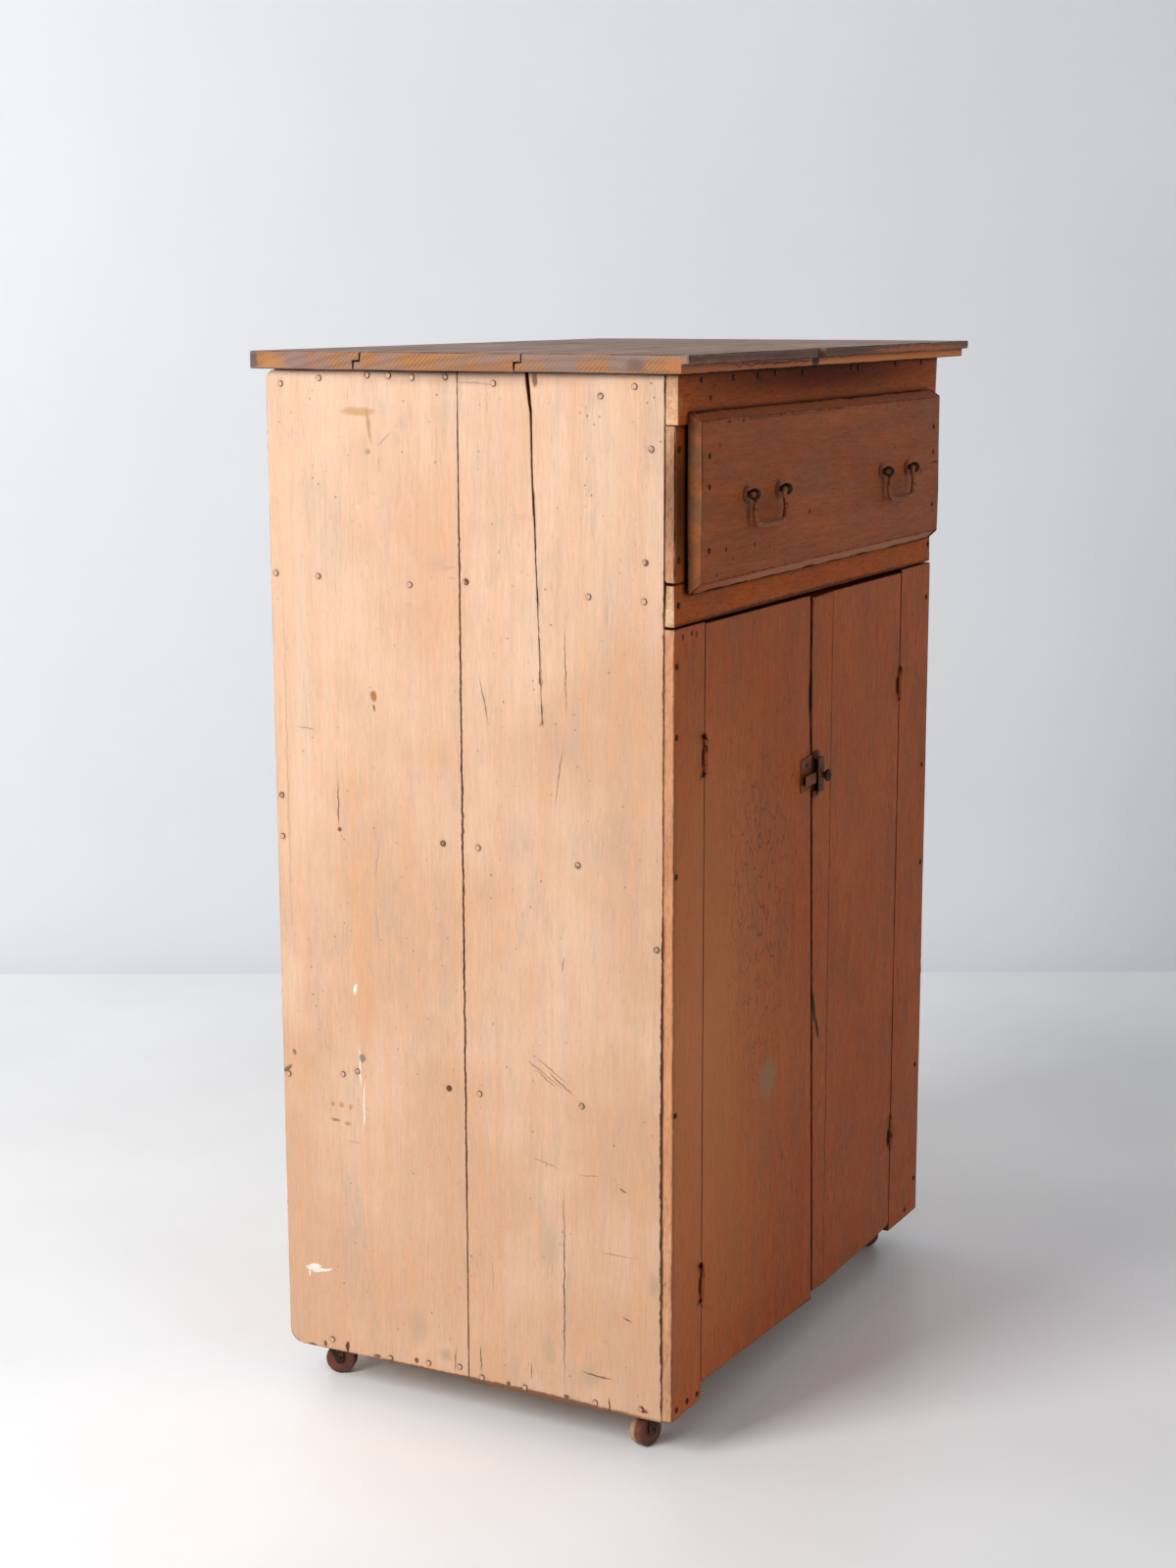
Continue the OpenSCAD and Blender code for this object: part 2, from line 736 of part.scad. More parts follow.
module latch_case() {
    front = frame_face_y - latch_case_depth;
    outer = latch_half_height + latch_wall;
    color(old_iron) difference() {
        union() {
            box([latch_case_left_x, front, latch_z - outer],
                [latch_case_right_x, frame_face_y, latch_z + outer]);
            box([latch_case_left_x, frame_face_y - latch_lug_thickness, latch_z - outer - latch_lug],
                [latch_case_right_x, frame_face_y, latch_z + outer + latch_lug]);
            peg(latch_x, front - latch_ring, latch_z, spindle_radius + latch_ring_margin,
                latch_ring + latch_wall / 2);
        }
        box([latch_case_left_x - cut, front + latch_wall, latch_z - latch_half_height],
            [latch_case_right_x - latch_wall, frame_face_y + cut, latch_z + latch_half_height]);
        peg(latch_x, front - latch_ring - cut, latch_z, spindle_radius + pin_play,
            latch_ring + latch_wall + 2 * cut);
        for (end = [-1, 1])
            peg(latch_lug_x, frame_face_y - latch_lug_thickness - cut, latch_z + end * latch_lug_z,
                latch_screw_radius, latch_lug_thickness + 2 * cut);
    }
}

module latch_screws() {
    for (end = [-1, 1])
        latch_screw(latch_lug_x, latch_z + end * latch_lug_z, frame_face_y - latch_lug_thickness);
}

// Knob, spindle and tongue turn as one piece. The tongue points up when the doors are free.
module latch_knob() {
    front = frame_face_y - latch_case_depth - latch_ring - touch;
    color(old_iron) translate([latch_x, 0, latch_z]) {
        translate([0, front, 0]) rotate([90, 0, 0]) rotate_extrude() polygon(concat(
            [[0, 0], [knob_radius * 0.55, 0], [knob_radius * 0.45, knob_neck * 0.45]],
            arc([knob_radius - knob_round, knob_neck], knob_round, -60, 80, 6),
            [[0, knob_neck + knob_round + knob_crown]]));
        peg(0, front, 0, spindle_radius, tongue_y - front);
        translate([0, tongue_y, 0]) rotate([90, 0, 0]) linear_extrude(tongue_thickness) union() {
            circle(r = tongue_width / 2);
            translate([-tongue_width / 2, 0]) square([tongue_width, tongue_length]);
        }
    }
}

module latch_keeper() {
    front = keeper_lip_y - keeper_lip;
    low = keeper_floor_z - keeper_floor;
    color(rusty_iron) difference() {
        union() {
            front_outline(frame_face_y, keeper_plate, [
                [keeper_left_x, keeper_floor_z - keeper_below[0]],
                [keeper_right_x, keeper_floor_z - keeper_below[1]],
                [keeper_right_x, keeper_lip_z + keeper_above[1]],
                [keeper_left_x, keeper_lip_z + keeper_above[0]]
            ]);
            box([keeper_left_x, front, low], [keeper_right_x, frame_face_y, keeper_floor_z]);
            box([keeper_left_x, front, low], [keeper_right_x, keeper_lip_y, keeper_lip_z]);
        }
        peg(keeper_left_x + keeper_width / 2, frame_face_y - keeper_plate - cut, keeper_screw_z,
            latch_screw_radius, keeper_plate + 2 * cut);
    }
}

module keeper_screw() {
    latch_screw(keeper_left_x + keeper_width / 2, keeper_screw_z, frame_face_y - keeper_plate);
}

// Drawer

drawer_low_z = drawer_floor_z - drawer_rail_lap;
drawer_high_z = top_rail_z + drawer_rail_lap;

module drawer_front() {
    x1 = drawer_left_x - drawer_side_lap;
    x2 = drawer_right_x + drawer_side_lap;
    land_y = drawer_back_face_y - drawer_bevel_land;
    color(paint_deep) difference() {
        translate([x1, 0, 0]) rotate([90, 0, 90]) linear_extrude(x2 - x1) polygon([
            [drawer_back_face_y, drawer_low_z], [drawer_back_face_y, drawer_high_z],
            [land_y, drawer_high_z], [drawer_face_y, drawer_high_z - drawer_bevel],
            [drawer_face_y, drawer_low_z + drawer_bevel], [land_y, drawer_low_z]
        ]);
        at_posts() peg(0, drawer_face_y - cut, 0, post_stem_radius, drawer_front_thickness + 2 * cut);
        box([drawer_box_left_x + drawer_side_thickness - drawer_groove,
                drawer_back_face_y - drawer_groove, drawer_bottom_z],
            [drawer_box_right_x - drawer_side_thickness + drawer_groove,
                drawer_back_face_y + cut, drawer_bottom_z + drawer_bottom_thickness + groove_play]);
    }
}

drawer_bottom_z = drawer_box_z + drawer_bottom_rise;

module drawer_side(x, groove_x) {
    color(bare_pine) difference() {
        box([x, drawer_back_face_y, drawer_box_z],
            [x + drawer_side_thickness, drawer_box_rear_y, drawer_box_z + drawer_side_height]);
        box([groove_x, drawer_back_face_y - cut, drawer_bottom_z],
            [groove_x + drawer_groove + cut, drawer_box_rear_y + cut,
                drawer_bottom_z + drawer_bottom_thickness + groove_play]);
    }
}

module drawer_left_side() {
    drawer_side(drawer_box_left_x, drawer_box_left_x + drawer_side_thickness - drawer_groove);
}

module drawer_right_side() {
    drawer_side(drawer_box_right_x - drawer_side_thickness,
        drawer_box_right_x - drawer_side_thickness - cut);
}

module drawer_back() {
    color(bare_pine) box(
        [drawer_box_left_x + drawer_side_thickness, drawer_box_rear_y - drawer_back_thickness,
            drawer_bottom_z + drawer_bottom_thickness],
        [drawer_box_right_x - drawer_side_thickness, drawer_box_rear_y,
            drawer_box_z + drawer_side_height]);
}

module drawer_bottom() {
    slack = drawer_side_thickness - drawer_groove + groove_play;
    color(bare_pine) box(
        [drawer_box_left_x + slack, drawer_back_face_y - drawer_groove + groove_play, drawer_bottom_z],
        [drawer_box_right_x - slack, drawer_box_rear_y, drawer_bottom_z + drawer_bottom_thickness]);
}

// Drawer pulls: two posts through the drawer front hold the ends of a wire bail

post_stem_radius = 2.5;
post_rosette = 1.5;
post_nut = 11;
post_nut_thickness = 4;
pull_rise = 4;       // pulls' height above the middle of the drawer opening
pull_z = (drawer_floor_z + top_rail_z) / 2 + pull_rise;
pull_y = drawer_face_y - pull_reach;

module at_pulls() {
    for (side = [-1, 1]) translate([drawer_middle_x + side * pull_offset, 0, pull_z]) children();
}

module at_posts() {
    at_pulls() for (end = [-1, 1]) translate([end * pull_spacing / 2, 0, 0]) children();
}

module post_eye() {
    half = post_eye_width / 2;
    soft = half / 2;
    rotate([0, 90, 0]) rotate_extrude() polygon([
        [bail_radius + pin_play, -half], [post_eye_radius - soft, -half],
        [post_eye_radius, -half + soft], [post_eye_radius, half - soft],
        [post_eye_radius - soft, half], [bail_radius + pin_play, half]
    ]);
}

module pull_posts() {
    neck_y = -post_eye_radius + 1;
    stem = pull_reach + neck_y + drawer_front_thickness + post_nut_thickness;
    color(old_iron) at_posts() {
        translate([0, pull_y, 0]) post_eye();
        peg(0, pull_y - neck_y, 0, post_stem_radius, stem);
        peg(0, drawer_face_y - post_rosette, 0, post_rosette_radius, post_rosette);
        box([-post_nut / 2, drawer_back_face_y, -post_nut / 2],
            [post_nut / 2, drawer_back_face_y + post_nut_thickness, post_nut / 2]);
    }
}

// Bent wire, drawn from the origin along +z. Each step is [length, 0] for a straight
// stretch, or [bend radius, angle] for a bend, turning towards -x when the angle is positive.
// A faint bead covers the joint between two steps.
module bent_wire(steps, radius, at = 0) {
    bead = 0.05;
    if (at < len(steps)) {
        size = steps[at][0];
        angle = steps[at][1];
        facing = angle > 0 ? 0 : 180;
        if (at > 0) sphere(r = radius + bead);
        if (angle == 0) {
            cylinder(r = radius, h = size);
            translate([0, 0, size]) bent_wire(steps, radius, at + 1);
        } else rotate([0, 0, facing]) {
            rotate([90, 0, 0]) translate([-size, 0, 0])
                rotate_extrude(angle = abs(angle)) translate([size, 0]) circle(r = radius);
            translate([size * (cos(angle) - 1), 0, size * sin(abs(angle))])
                rotate([0, -abs(angle), 0]) rotate([0, 0, facing])
                    bent_wire(steps, radius, at + 1);
        }
    }
}

// How far a bent wire runs along its first direction
function wire_run(steps, heading = 0, at = 0) =
    at == len(steps) ? 0 :
    let (size = steps[at][0], turn = steps[at][1], next = heading + turn)
    (turn == 0 ? size * cos(heading) : size * sign(turn) * (sin(next) - sin(heading)))
        + wire_run(steps, next, at + 1);

// Bail, from one post to the other: through the eye, down, out, in again and along a shallow bow
bail_end = 5;        // how far the wire runs past the middle of the eye on both sides
bail_bow = 8;
bail_half = [[2 * bail_end, 0], [3, 90], [8, 38], [20, -73], [8, bail_bow - 55]];
bail_bow_radius = (pull_spacing / 2 + bail_end - wire_run(bail_half)) / sin(bail_bow);
bail_steps = concat(bail_half, [[bail_bow_radius, -2 * bail_bow]], reversed(bail_half));

module bail(side) {
    color(rusty_iron) translate([drawer_middle_x + side * pull_offset, pull_y, pull_z])
        translate([pull_spacing / 2 + bail_end, 0, 0]) rotate([0, -90, 0])
            bent_wire(bail_steps, bail_radius, $fn = 32);
}

// Casters

module at_caster(index) {
    c = casters[index];
    translate([c[0] * swivel_x, c[1] * swivel_y, 0]) children();
}

module at_casters() {
    for (i = [0:len(casters) - 1]) at_caster(i) children();
}

module at_caster_screws() {
    reach = caster_plate_size / 2 - caster_screw_edge;
    at_casters() for (x = [-reach, reach]) for (y = [-reach, reach]) translate([x, y, 0]) children();
}

module caster_plates() {
    z = side_z - caster_plate_thickness;
    half = caster_plate_size / 2;
    color(old_iron) difference() {
        at_casters() union() {
            box([-half, -half, z], [half, half, side_z]);
            translate([0, 0, z - plate_boss]) cylinder(r = plate_boss_radius, h = plate_boss + 1);
        }
        at_casters() translate([0, 0, z - plate_boss - cut])
            cylinder(r = king_pin_radius, h = caster_plate_thickness + plate_boss + 2 * cut);
        at_caster_screws() translate([0, 0, z - cut])
            cylinder(r = caster_screw_radius, h = caster_plate_thickness + 2 * cut);
    }
}

module caster_king_pins() {
    color(rusty_iron) at_casters() {
        translate([0, 0, crown_z - touch]) cylinder(r = king_pin_radius, h = side_z - crown_z + touch);
        translate([0, 0, crown_z - touch - rivet_head]) cylinder(r = rivet_head_radius, h = rivet_head);
    }
}

module caster_screws() {
    color(rusty_iron) at_caster_screws() {
        translate([0, 0, side_z - caster_plate_thickness])
            cylinder(r = caster_screw_radius, h = caster_plate_thickness + caster_screw_length);
        translate([0, 0, side_z - caster_plate_thickness - screw_head])
            cylinder(r = caster_screw_radius + screw_head_margin, h = screw_head);
    }
}

module caster_fork(index) {
    boss_radius = axle_radius + axle_boss;
    outer = arm_y + arm_thickness;
    color(old_iron) at_caster(index) rotate([0, 0, casters[index][2]]) {
        difference() {
            union() {
                translate([0, 0, crown_z]) cylinder(r = outer + 1, h = crown_thickness);
                box([-fork_tail, -outer, crown_z], [caster_trail + fork_nose, outer, crown_top_z]);
                for (y = [arm_y + arm_thickness, -arm_y]) {
                    front_outline(y, arm_thickness, [
                        [-fork_tail, crown_top_z], [-fork_tail, crown_z - fork_heel],
                        [caster_trail - boss_radius, wheel_radius],
                        [caster_trail + boss_radius, wheel_radius],
                        [caster_trail + fork_nose, crown_top_z]
                    ]);
                    peg(caster_trail, y - arm_thickness, wheel_radius, boss_radius, arm_thickness);
                }
            }
            translate([0, 0, crown_z - cut])
                cylinder(r = king_pin_radius + pin_play, h = crown_thickness + 2 * cut);
            peg(caster_trail, -outer - cut, wheel_radius, axle_radius, 2 * (outer + cut));
        }
        peg(caster_trail, -outer, wheel_radius, axle_radius, 2 * outer);
        for (y = [-outer - axle_head, outer])
            peg(caster_trail, y, wheel_radius, axle_radius + 1, axle_head);
    }
}

module caster_wheel(index) {
    edge = 2;
    half = wheel_width / 2;
    color(caster_wood) at_caster(index) rotate([0, 0, casters[index][2]])
        translate([caster_trail, 0, wheel_radius]) rotate([90, 0, 0]) rotate_extrude() polygon(concat(
            [[axle_radius + 2 * pin_play, -half]],
            arc([wheel_radius - edge, edge - half], edge, -90, 0, 4),
            arc([wheel_radius - edge, half - edge], edge, 0, 90, 4),
            [[axle_radius + 2 * pin_play, half]]));
}

// Nails

module side_nail(side, distance, height, length) {
    translate([side * carcass_width / 2, front_y + distance, side_z + height]) rotate([0, -side * 90, 0]) {
        translate([0, 0, -nail_head]) cylinder(r = nail_head_radius, h = nail_head, $fn = 24);
        cylinder(r = nail_radius, h = length, $fn = 24);
    }
}

module side_nails() {
    color(old_iron) for (side = [-1, 1]) {
        for (row = side_nail_rows) for (nail = row[1])
            side_nail(side, nail[0] * side_depth, row[0] + nail[1], nail_length);
        for (pin = side_pins) side_nail(side, pin[0], pin[1], side_pin_length);
    }
}

module frame_nail(x, y, z) {
    peg(x, y - nail_head, z, nail_head_radius, nail_head, $fn = 24);
    peg(x, y, z, nail_radius, nail_length, $fn = 24);
}

module frame_nails() {
    edge = side_thickness / 2;
    stile_height = door_head_z - stile_gap - side_z;
    color(old_iron) {
        for (nail = rail_nails)
            frame_nail(mixed(left_x, right_x, nail[0]), rail_face_y, top_z - nail[1]);
        for (x = [left_x + edge, right_x - edge])
            for (z = [mixed(drawer_floor_z, top_rail_z, 0.15), mixed(drawer_floor_z, top_rail_z, 0.85),
                    mixed(door_head_z, drawer_floor_z, 0.5)])
                frame_nail(x, frame_face_y, z);
        for (n = left_stile_nails)
            frame_nail(left_x + n[0], frame_face_y, side_z + n[1] * stile_height);
        for (n = right_stile_nails)
            frame_nail(right_x - n[0], frame_face_y, side_z + n[1] * stile_height);
    }
}

module drawer_nails() {
    side_middle = drawer_side_thickness / 2;
    color(old_iron)
        for (x = [drawer_box_left_x + side_middle, drawer_box_right_x - side_middle])
            for (share = drawer_nail_shares)
                frame_nail(x, drawer_face_y, mixed(drawer_low_z, drawer_high_z, share));
}

place() left_side_front_board();
place() left_side_rear_board();
place() right_side_front_board();
place() right_side_rear_board();
place() back_board(1);  // back_board_1
place() back_board(2);  // back_board_2
place() back_board(3);  // back_board_3
place() back_board(4);  // back_board_4
place() bottom_board(true);  // bottom_front_board
place() bottom_board(false);  // bottom_rear_board
place() top_front_board();
place() top_middle_board();
place() top_rear_board();
place() top_rail();
place() drawer_rail();
place() upper_stile(left_x, left_upper_stile_width);  // left_upper_stile
place()  // right_upper_stile
    upper_stile(drawer_right_x, right_upper_stile_width);
place()  // left_lower_stile
    lower_stile(left_x, left_lower_stile_width, left_hinge_x, -1);
place()  // right_lower_stile
    lower_stile(right_x - right_lower_stile_width, right_lower_stile_width, right_hinge_x, 1);
place() shelf(upper_shelf_height);  // upper_shelf
place() shelf(lower_shelf_height);  // lower_shelf
place() shelf_cleats();
place() top_cleats();
place() drawer_runners();
place() hinge_frame_leaves();
place() hinge_pins();
place() side_nails();
place() frame_nails();
place() caster_plates();
place() caster_king_pins();
place() caster_screws();
place() drawer_front();
place() drawer_left_side();
place() drawer_right_side();
place() drawer_back();
place() drawer_bottom();
place() drawer_nails();
place() pull_posts();
place() bail(-1);  // left_pull_bail
place() bail(1);  // right_pull_bail
place() left_door_board();
place() left_door_battens();
place() left_door_hinge_leaves();
place() latch_keeper();
place() keeper_screw();
place() right_door_wide_board();
place() right_door_narrow_board();
place() right_door_battens();
place() right_door_hinge_leaves();
place() latch_case();
place() latch_screws();
place() latch_knob();
place() caster_fork(0);  // caster_fork_front_left
place() caster_fork(1);  // caster_fork_front_right
place() caster_fork(2);  // caster_fork_rear_left
place() caster_fork(3);  // caster_fork_rear_right
place() caster_wheel(0);  // caster_wheel_front_left
place() caster_wheel(1);  // caster_wheel_front_right
place() caster_wheel(2);  // caster_wheel_rear_left
place() caster_wheel(3);  // caster_wheel_rear_right
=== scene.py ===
"""Painted plank cupboard on casters: weathers its boards, finishes paint, wood and iron, sets the studio."""
import json
import math
from functools import partial

import bpy
from mathutils import Matrix, Vector


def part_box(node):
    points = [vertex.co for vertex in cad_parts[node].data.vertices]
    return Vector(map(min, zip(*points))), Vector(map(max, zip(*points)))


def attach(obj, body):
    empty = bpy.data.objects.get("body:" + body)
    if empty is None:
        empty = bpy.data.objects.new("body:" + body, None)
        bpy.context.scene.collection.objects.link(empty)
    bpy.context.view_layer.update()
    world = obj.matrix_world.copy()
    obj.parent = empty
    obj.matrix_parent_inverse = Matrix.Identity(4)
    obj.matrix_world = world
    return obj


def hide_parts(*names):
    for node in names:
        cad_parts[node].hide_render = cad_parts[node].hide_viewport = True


bl_info = {
    "name": "Plank Cupboard",
    "version": (1, 0, 0),
    "blender": (4, 5, 0),
    "location": "3D View > Sidebar > Cupboard",
    "description": "Dresses a painted plank cupboard: worn boards, old paint, rusty iron and a pale studio",
    "category": "Object",
}

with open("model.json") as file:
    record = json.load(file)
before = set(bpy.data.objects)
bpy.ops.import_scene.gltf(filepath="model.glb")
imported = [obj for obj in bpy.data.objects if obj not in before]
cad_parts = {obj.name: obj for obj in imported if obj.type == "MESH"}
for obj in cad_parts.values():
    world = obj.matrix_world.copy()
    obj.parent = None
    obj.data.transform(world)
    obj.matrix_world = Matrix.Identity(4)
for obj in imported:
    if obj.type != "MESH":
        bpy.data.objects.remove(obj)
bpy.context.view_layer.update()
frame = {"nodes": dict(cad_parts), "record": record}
NODES = frame["nodes"]
BODY = {node: body for body, nodes in frame["record"]["behaviour"]["bodies"].items() for node in nodes}
AXES = {"X": Vector((1, 0, 0)), "Y": Vector((0, 1, 0)), "Z": Vector((0, 0, 1))}
# The carcass in metres: its middle along X, the outer faces of its sides and of its front, and the joint
# between the two boards of a side
MIDDLE, LEFT, RIGHT, FACE, SEAM = -0.035, -0.444, 0.374, -0.258, 0.017
# The camera, solved from the photo: its place in metres, its turn in radians, and in pixels its frame, focal
# length and optical centre
CAMERA_PLACE, YAW, PITCH, ROLL = (-2.9956, -1.4792, 1.3557), 1.0922, 0.1907, -0.0023
FRAME_SIZE, FOCAL, CENTRE = (1200, 1600), 2621.25, (604.9, 806.0)
SENSOR = 36.0


# Colours and shader nodes

def linear(code):
    """An sRGB hex code as the linear RGBA that the shader sockets take."""
    channels = [int(code[i:i + 2], 16) / 255 for i in (1, 3, 5)]
    return (*[c / 12.92 if c <= 0.04045 else ((c + 0.055) / 1.055) ** 2.4 for c in channels], 1.0)


def add(tree, kind, inputs=(), **settings):
    """Adds one shader node with its settings and links. A node as an input stands for its first output."""
    made = tree.nodes.new("ShaderNode" + kind)
    for name, value in settings.items():
        setattr(made, name, value)
    in_use = [socket for socket in made.inputs if socket.enabled]
    for key, value in inputs.items() if isinstance(inputs, dict) else enumerate(inputs):
        socket = in_use[key] if isinstance(key, int) else made.inputs[key]
        if isinstance(value, bpy.types.Node):
            value = next(output for output in value.outputs if output.enabled)
        if isinstance(value, bpy.types.NodeSocket):
            tree.links.new(value, socket)
        else:
            socket.default_value = value
    return made


def start_material(name):
    """A new material, its shader, its adder of nodes, and the piece's own Object coordinates and normals."""
    material = bpy.data.materials.new(name)
    material.use_nodes = True
    tree = material.node_tree
    own = add(tree, "TexCoord")
    shader = tree.nodes["Principled BSDF"]
    return material, shader, partial(add, tree), own.outputs["Object"], own.outputs["Normal"]


def join(material, shader, **sources):
    """Links nodes to the shader's sockets. An underscore stands for the space in a socket's name."""
    for key, source in sources.items():
        output = next(output for output in source.outputs if output.enabled)
        material.node_tree.links.new(output, shader.inputs[key.replace("_", " ")])


def lengthwise(node, place, along, share, start=(0, 0, 0)):
    """The same coordinates with the pattern on them drawn out along the grain."""
    stretch = [share if axis == along else 1.0 for axis in "XYZ"]
    return node("Mapping", {"Vector": place, "Scale": stretch, "Location": start})


def ragged(node, place, size, depth):
    """The same coordinates pushed about by clouds of a real size, so that outlines come out ragged."""
    clouds = node("TexNoise", {"Vector": place, "Scale": 1 / size, "Detail": 4.0, "Roughness": 0.65})
    centred = node("VectorMath", [clouds.outputs["Color"], (0.5, 0.5, 0.5)], operation="SUBTRACT")
    return node("VectorMath", [centred, (depth, depth, depth), place], operation="MULTIPLY_ADD")


def blot(node, place, centre, size, turn=(0, 0, 0), edge=0.4):
    """A spot round a place in the cupboard's frame, size giving its reach along X, Y and Z in metres."""
    local = node("Mapping", {"Vector": place, "Location": centre, "Rotation": turn, "Scale": size},
                 vector_type="TEXTURE")
    reach = node("VectorMath", [local], operation="LENGTH")
    return node("MapRange", [reach, 1 - edge, 1.0, 1.0, 0.0], interpolation_type="SMOOTHSTEP")


def spotted(node, place, marks):
    """One coat for each mark, made when it is laid over: its share and its colour."""
    for centre, size, turn, code, strength, edge in marks:
        spot = blot(node, place, centre, size, turn, edge)
        yield node("Math", [spot, strength], operation="MULTIPLY"), linear(code)


def laid_over(node, colour, coats):
    """The colour that comes of laying coats over another colour, each with its share and its own colour."""
    for share, coat in coats:
        colour = node("Mix", [share, colour, coat], data_type="RGBA")
    return colour


def from_middle(node, place, axis):
    """The distance from the carcass's middle along X or Y, with its sign."""
    return node("Math", [node("SeparateXYZ", [place]).outputs[axis], -MIDDLE if axis == "X" else 0.0])


def facing_inward(node, place, turned, axis):
    """1 on the faces that look at the cupboard's middle along one axis, 0 elsewhere."""
    way = node("SeparateXYZ", [turned]).outputs[axis]
    side = node("Math", [from_middle(node, place, axis)], operation="SIGN")
    return node("Math", [node("Math", [way, side], operation="MULTIPLY"), -0.7], operation="LESS_THAN")


def edge_share(node, radius):
    """How near a convex or hollow edge is, from 0 on a flat face to about 0.3 on a square edge."""
    rounded = node("Bevel", {"Radius": radius}, samples=4)
    dot = node("VectorMath", [rounded, node("NewGeometry").outputs["Normal"]], operation="DOT_PRODUCT")
    return node("Math", [1.0, dot], operation="SUBTRACT")


def dirt_and_shade_in_hollows(node, reach, low, high, most):
    """Darkens hollows, joints and the places round whatever is nailed on, by ambient occlusion: painted shade,
    standing also for the dirt that gathers there.
    """
    shade = node("AmbientOcclusion", {"Distance": reach}, samples=6)
    return node("MapRange", [shade.outputs["AO"], low, high, most, 0.0])


# Finishes

def oil_paint(name, along, colours, banding, thinness, crackle, scuffs, mottling, inner, marks=(), crazed=None,
              side_codes=(), shine=0.5):
    """Brushed oil paint, gone chalky: satin, streaked by brush and grain, thin in places, lost at the edges.
    The eye gets a flat warm colour broken by fine lengthwise streaks, dark nicks and bare wooden corners."""
    material, shader, node, place, turned = start_material(name)
    main, pale, warm, grey, deep, wood, hollow_dirt_and_shade_colour = [linear(code) for code in colours]
    run, short, drawn, pored, calm, chipped = [lengthwise(node, place, along, share)
                                               for share in (0.05, 0.09, 0.13, 0.22, 0.4, 0.35)]
    patch = lengthwise(node, place, along, 0.3, start=(2.3, 1.1, 0.7))
    # Fading in areas of about 20 cm, grain bands 2 cm wide, brush marks 3 mm apart, fibres under 1 mm
    broad = node("TexNoise", {"Vector": place, "Scale": 5.0, "Detail": 3.0})
    bands = node("TexNoise", {"Vector": run, "Scale": 46.0, "Detail": 3.0})
    brush = node("TexNoise", {"Vector": short, "Scale": 360.0, "Detail": 5.0, "Roughness": 0.7})
    fibre = node("TexNoise", {"Vector": short, "Scale": 1300.0, "Detail": 2.0})
    # Painted light: the upper part paler and the lower darker, as the light falls
    uneven = node("Math", [broad, 0.14], operation="SUBTRACT")
    painted_light_by_height = node("Math", [node("SeparateXYZ", [place]).outputs["Z"], 0.22, uneven], operation="MULTIPLY_ADD")
    coats = [(node("MapRange", [painted_light_by_height, 0.38, 0.62]), pale)]
    # Edge faces, coloured by their distance from the cupboard's middle
    sideways = node("Math", [node("SeparateXYZ", [turned]).outputs["X"]], operation="ABSOLUTE")
    sideways = node("Math", [sideways, 0.7], operation="GREATER_THAN")
    away = node("Math", [from_middle(node, place, "X")], operation="ABSOLUTE")
    for beyond, code in side_codes:
        out = node("Math", [away, beyond], operation="GREATER_THAN")
        coats.append((node("Math", [sideways, out], operation="MULTIPLY"), linear(code)))
    coats.append((node("MapRange", [bands, 0.44, 0.66, 0.0, banding]), warm))
    coats.append((node("MapRange", [brush, 0.4, 0.7, 0.0, 0.12 + 0.25 * mottling]), deep))
    # The wood's figure shows faintly through the paint, its rings 2 cm apart
    figure = node("TexWave", {"Vector": ragged(node, drawn, 0.11, 0.09), "Scale": 17.0, "Distortion": 2.5,
                              "Detail": 3.0, "Detail Scale": 2.0},
                  bands_direction="X" if inner == "Y" else "Y")
    coats.append((node("MapRange", [figure, 0.45, 1.0, 0.0, 0.13]), grey))
    # Dark grease in the pores, in specks 2 mm wide and clouds of 5 cm
    specks = node("TexNoise", {"Vector": pored, "Scale": 430.0, "Detail": 3.0, "Roughness": 0.75})
    cloud = node("TexNoise", {"Vector": calm, "Scale": 19.0, "Detail": 6.0, "Roughness": 0.72})
    clouded = node("MapRange", [cloud, 0.35, 0.65, 0.35, 1.0])
    coats.append((node("Math", [node("MapRange", [specks, 0.5, 0.72, 0.0, mottling]), clouded],
                       operation="MULTIPLY"), deep))
    coats.append((node("MapRange", [cloud, 0.48, 0.72, 0.0, 0.7 * mottling]), grey))
    # Thin patches 5 cm wide, where the grey coat underneath shows between the streaks
    thin = node("TexNoise", {"Vector": patch, "Scale": 20.0, "Detail": 7.0, "Roughness": 0.66,
                             "Distortion": 0.5})
    broken = node("MapRange", [brush, 0.38, 0.56, 0.25, 1.0])
    coats.append((node("Math", [node("MapRange", [thin, 0.5, 0.68, 0.0, thinness]), broken],
                       operation="MULTIPLY"), grey))
    # Short scratches 1.5 mm wide, mostly where the paint is thin
    strokes = node("TexNoise", {"Vector": short, "Scale": 620.0, "Detail": 2.0, "Distortion": 0.3})
    scratches = node("Math", [node("MapRange", [strokes, 0.66, 0.74, 0.0, scuffs]),
                              node("MapRange", [thin, 0.46, 0.6, 0.1, 1.0])], operation="MULTIPLY")
    # Dents and flecks up to 3 mm wide
    spots = node("TexVoronoi", {"Vector": ragged(node, place, 0.006, 0.002), "Scale": 70.0})
    few = node("Math", [node("SeparateColor", [spots.outputs["Color"]]), 0.80 + 0.14 * mottling],
               operation="GREATER_THAN")
    few = node("Math", [few, node("MapRange", [thin, 0.46, 0.58, 0.15, 1.0])], operation="MULTIPLY")
    flecks = node("Math", [node("MapRange", [spots.outputs["Distance"], 0.05, 0.12, 0.75, 0.0]), few],
                  operation="MULTIPLY")
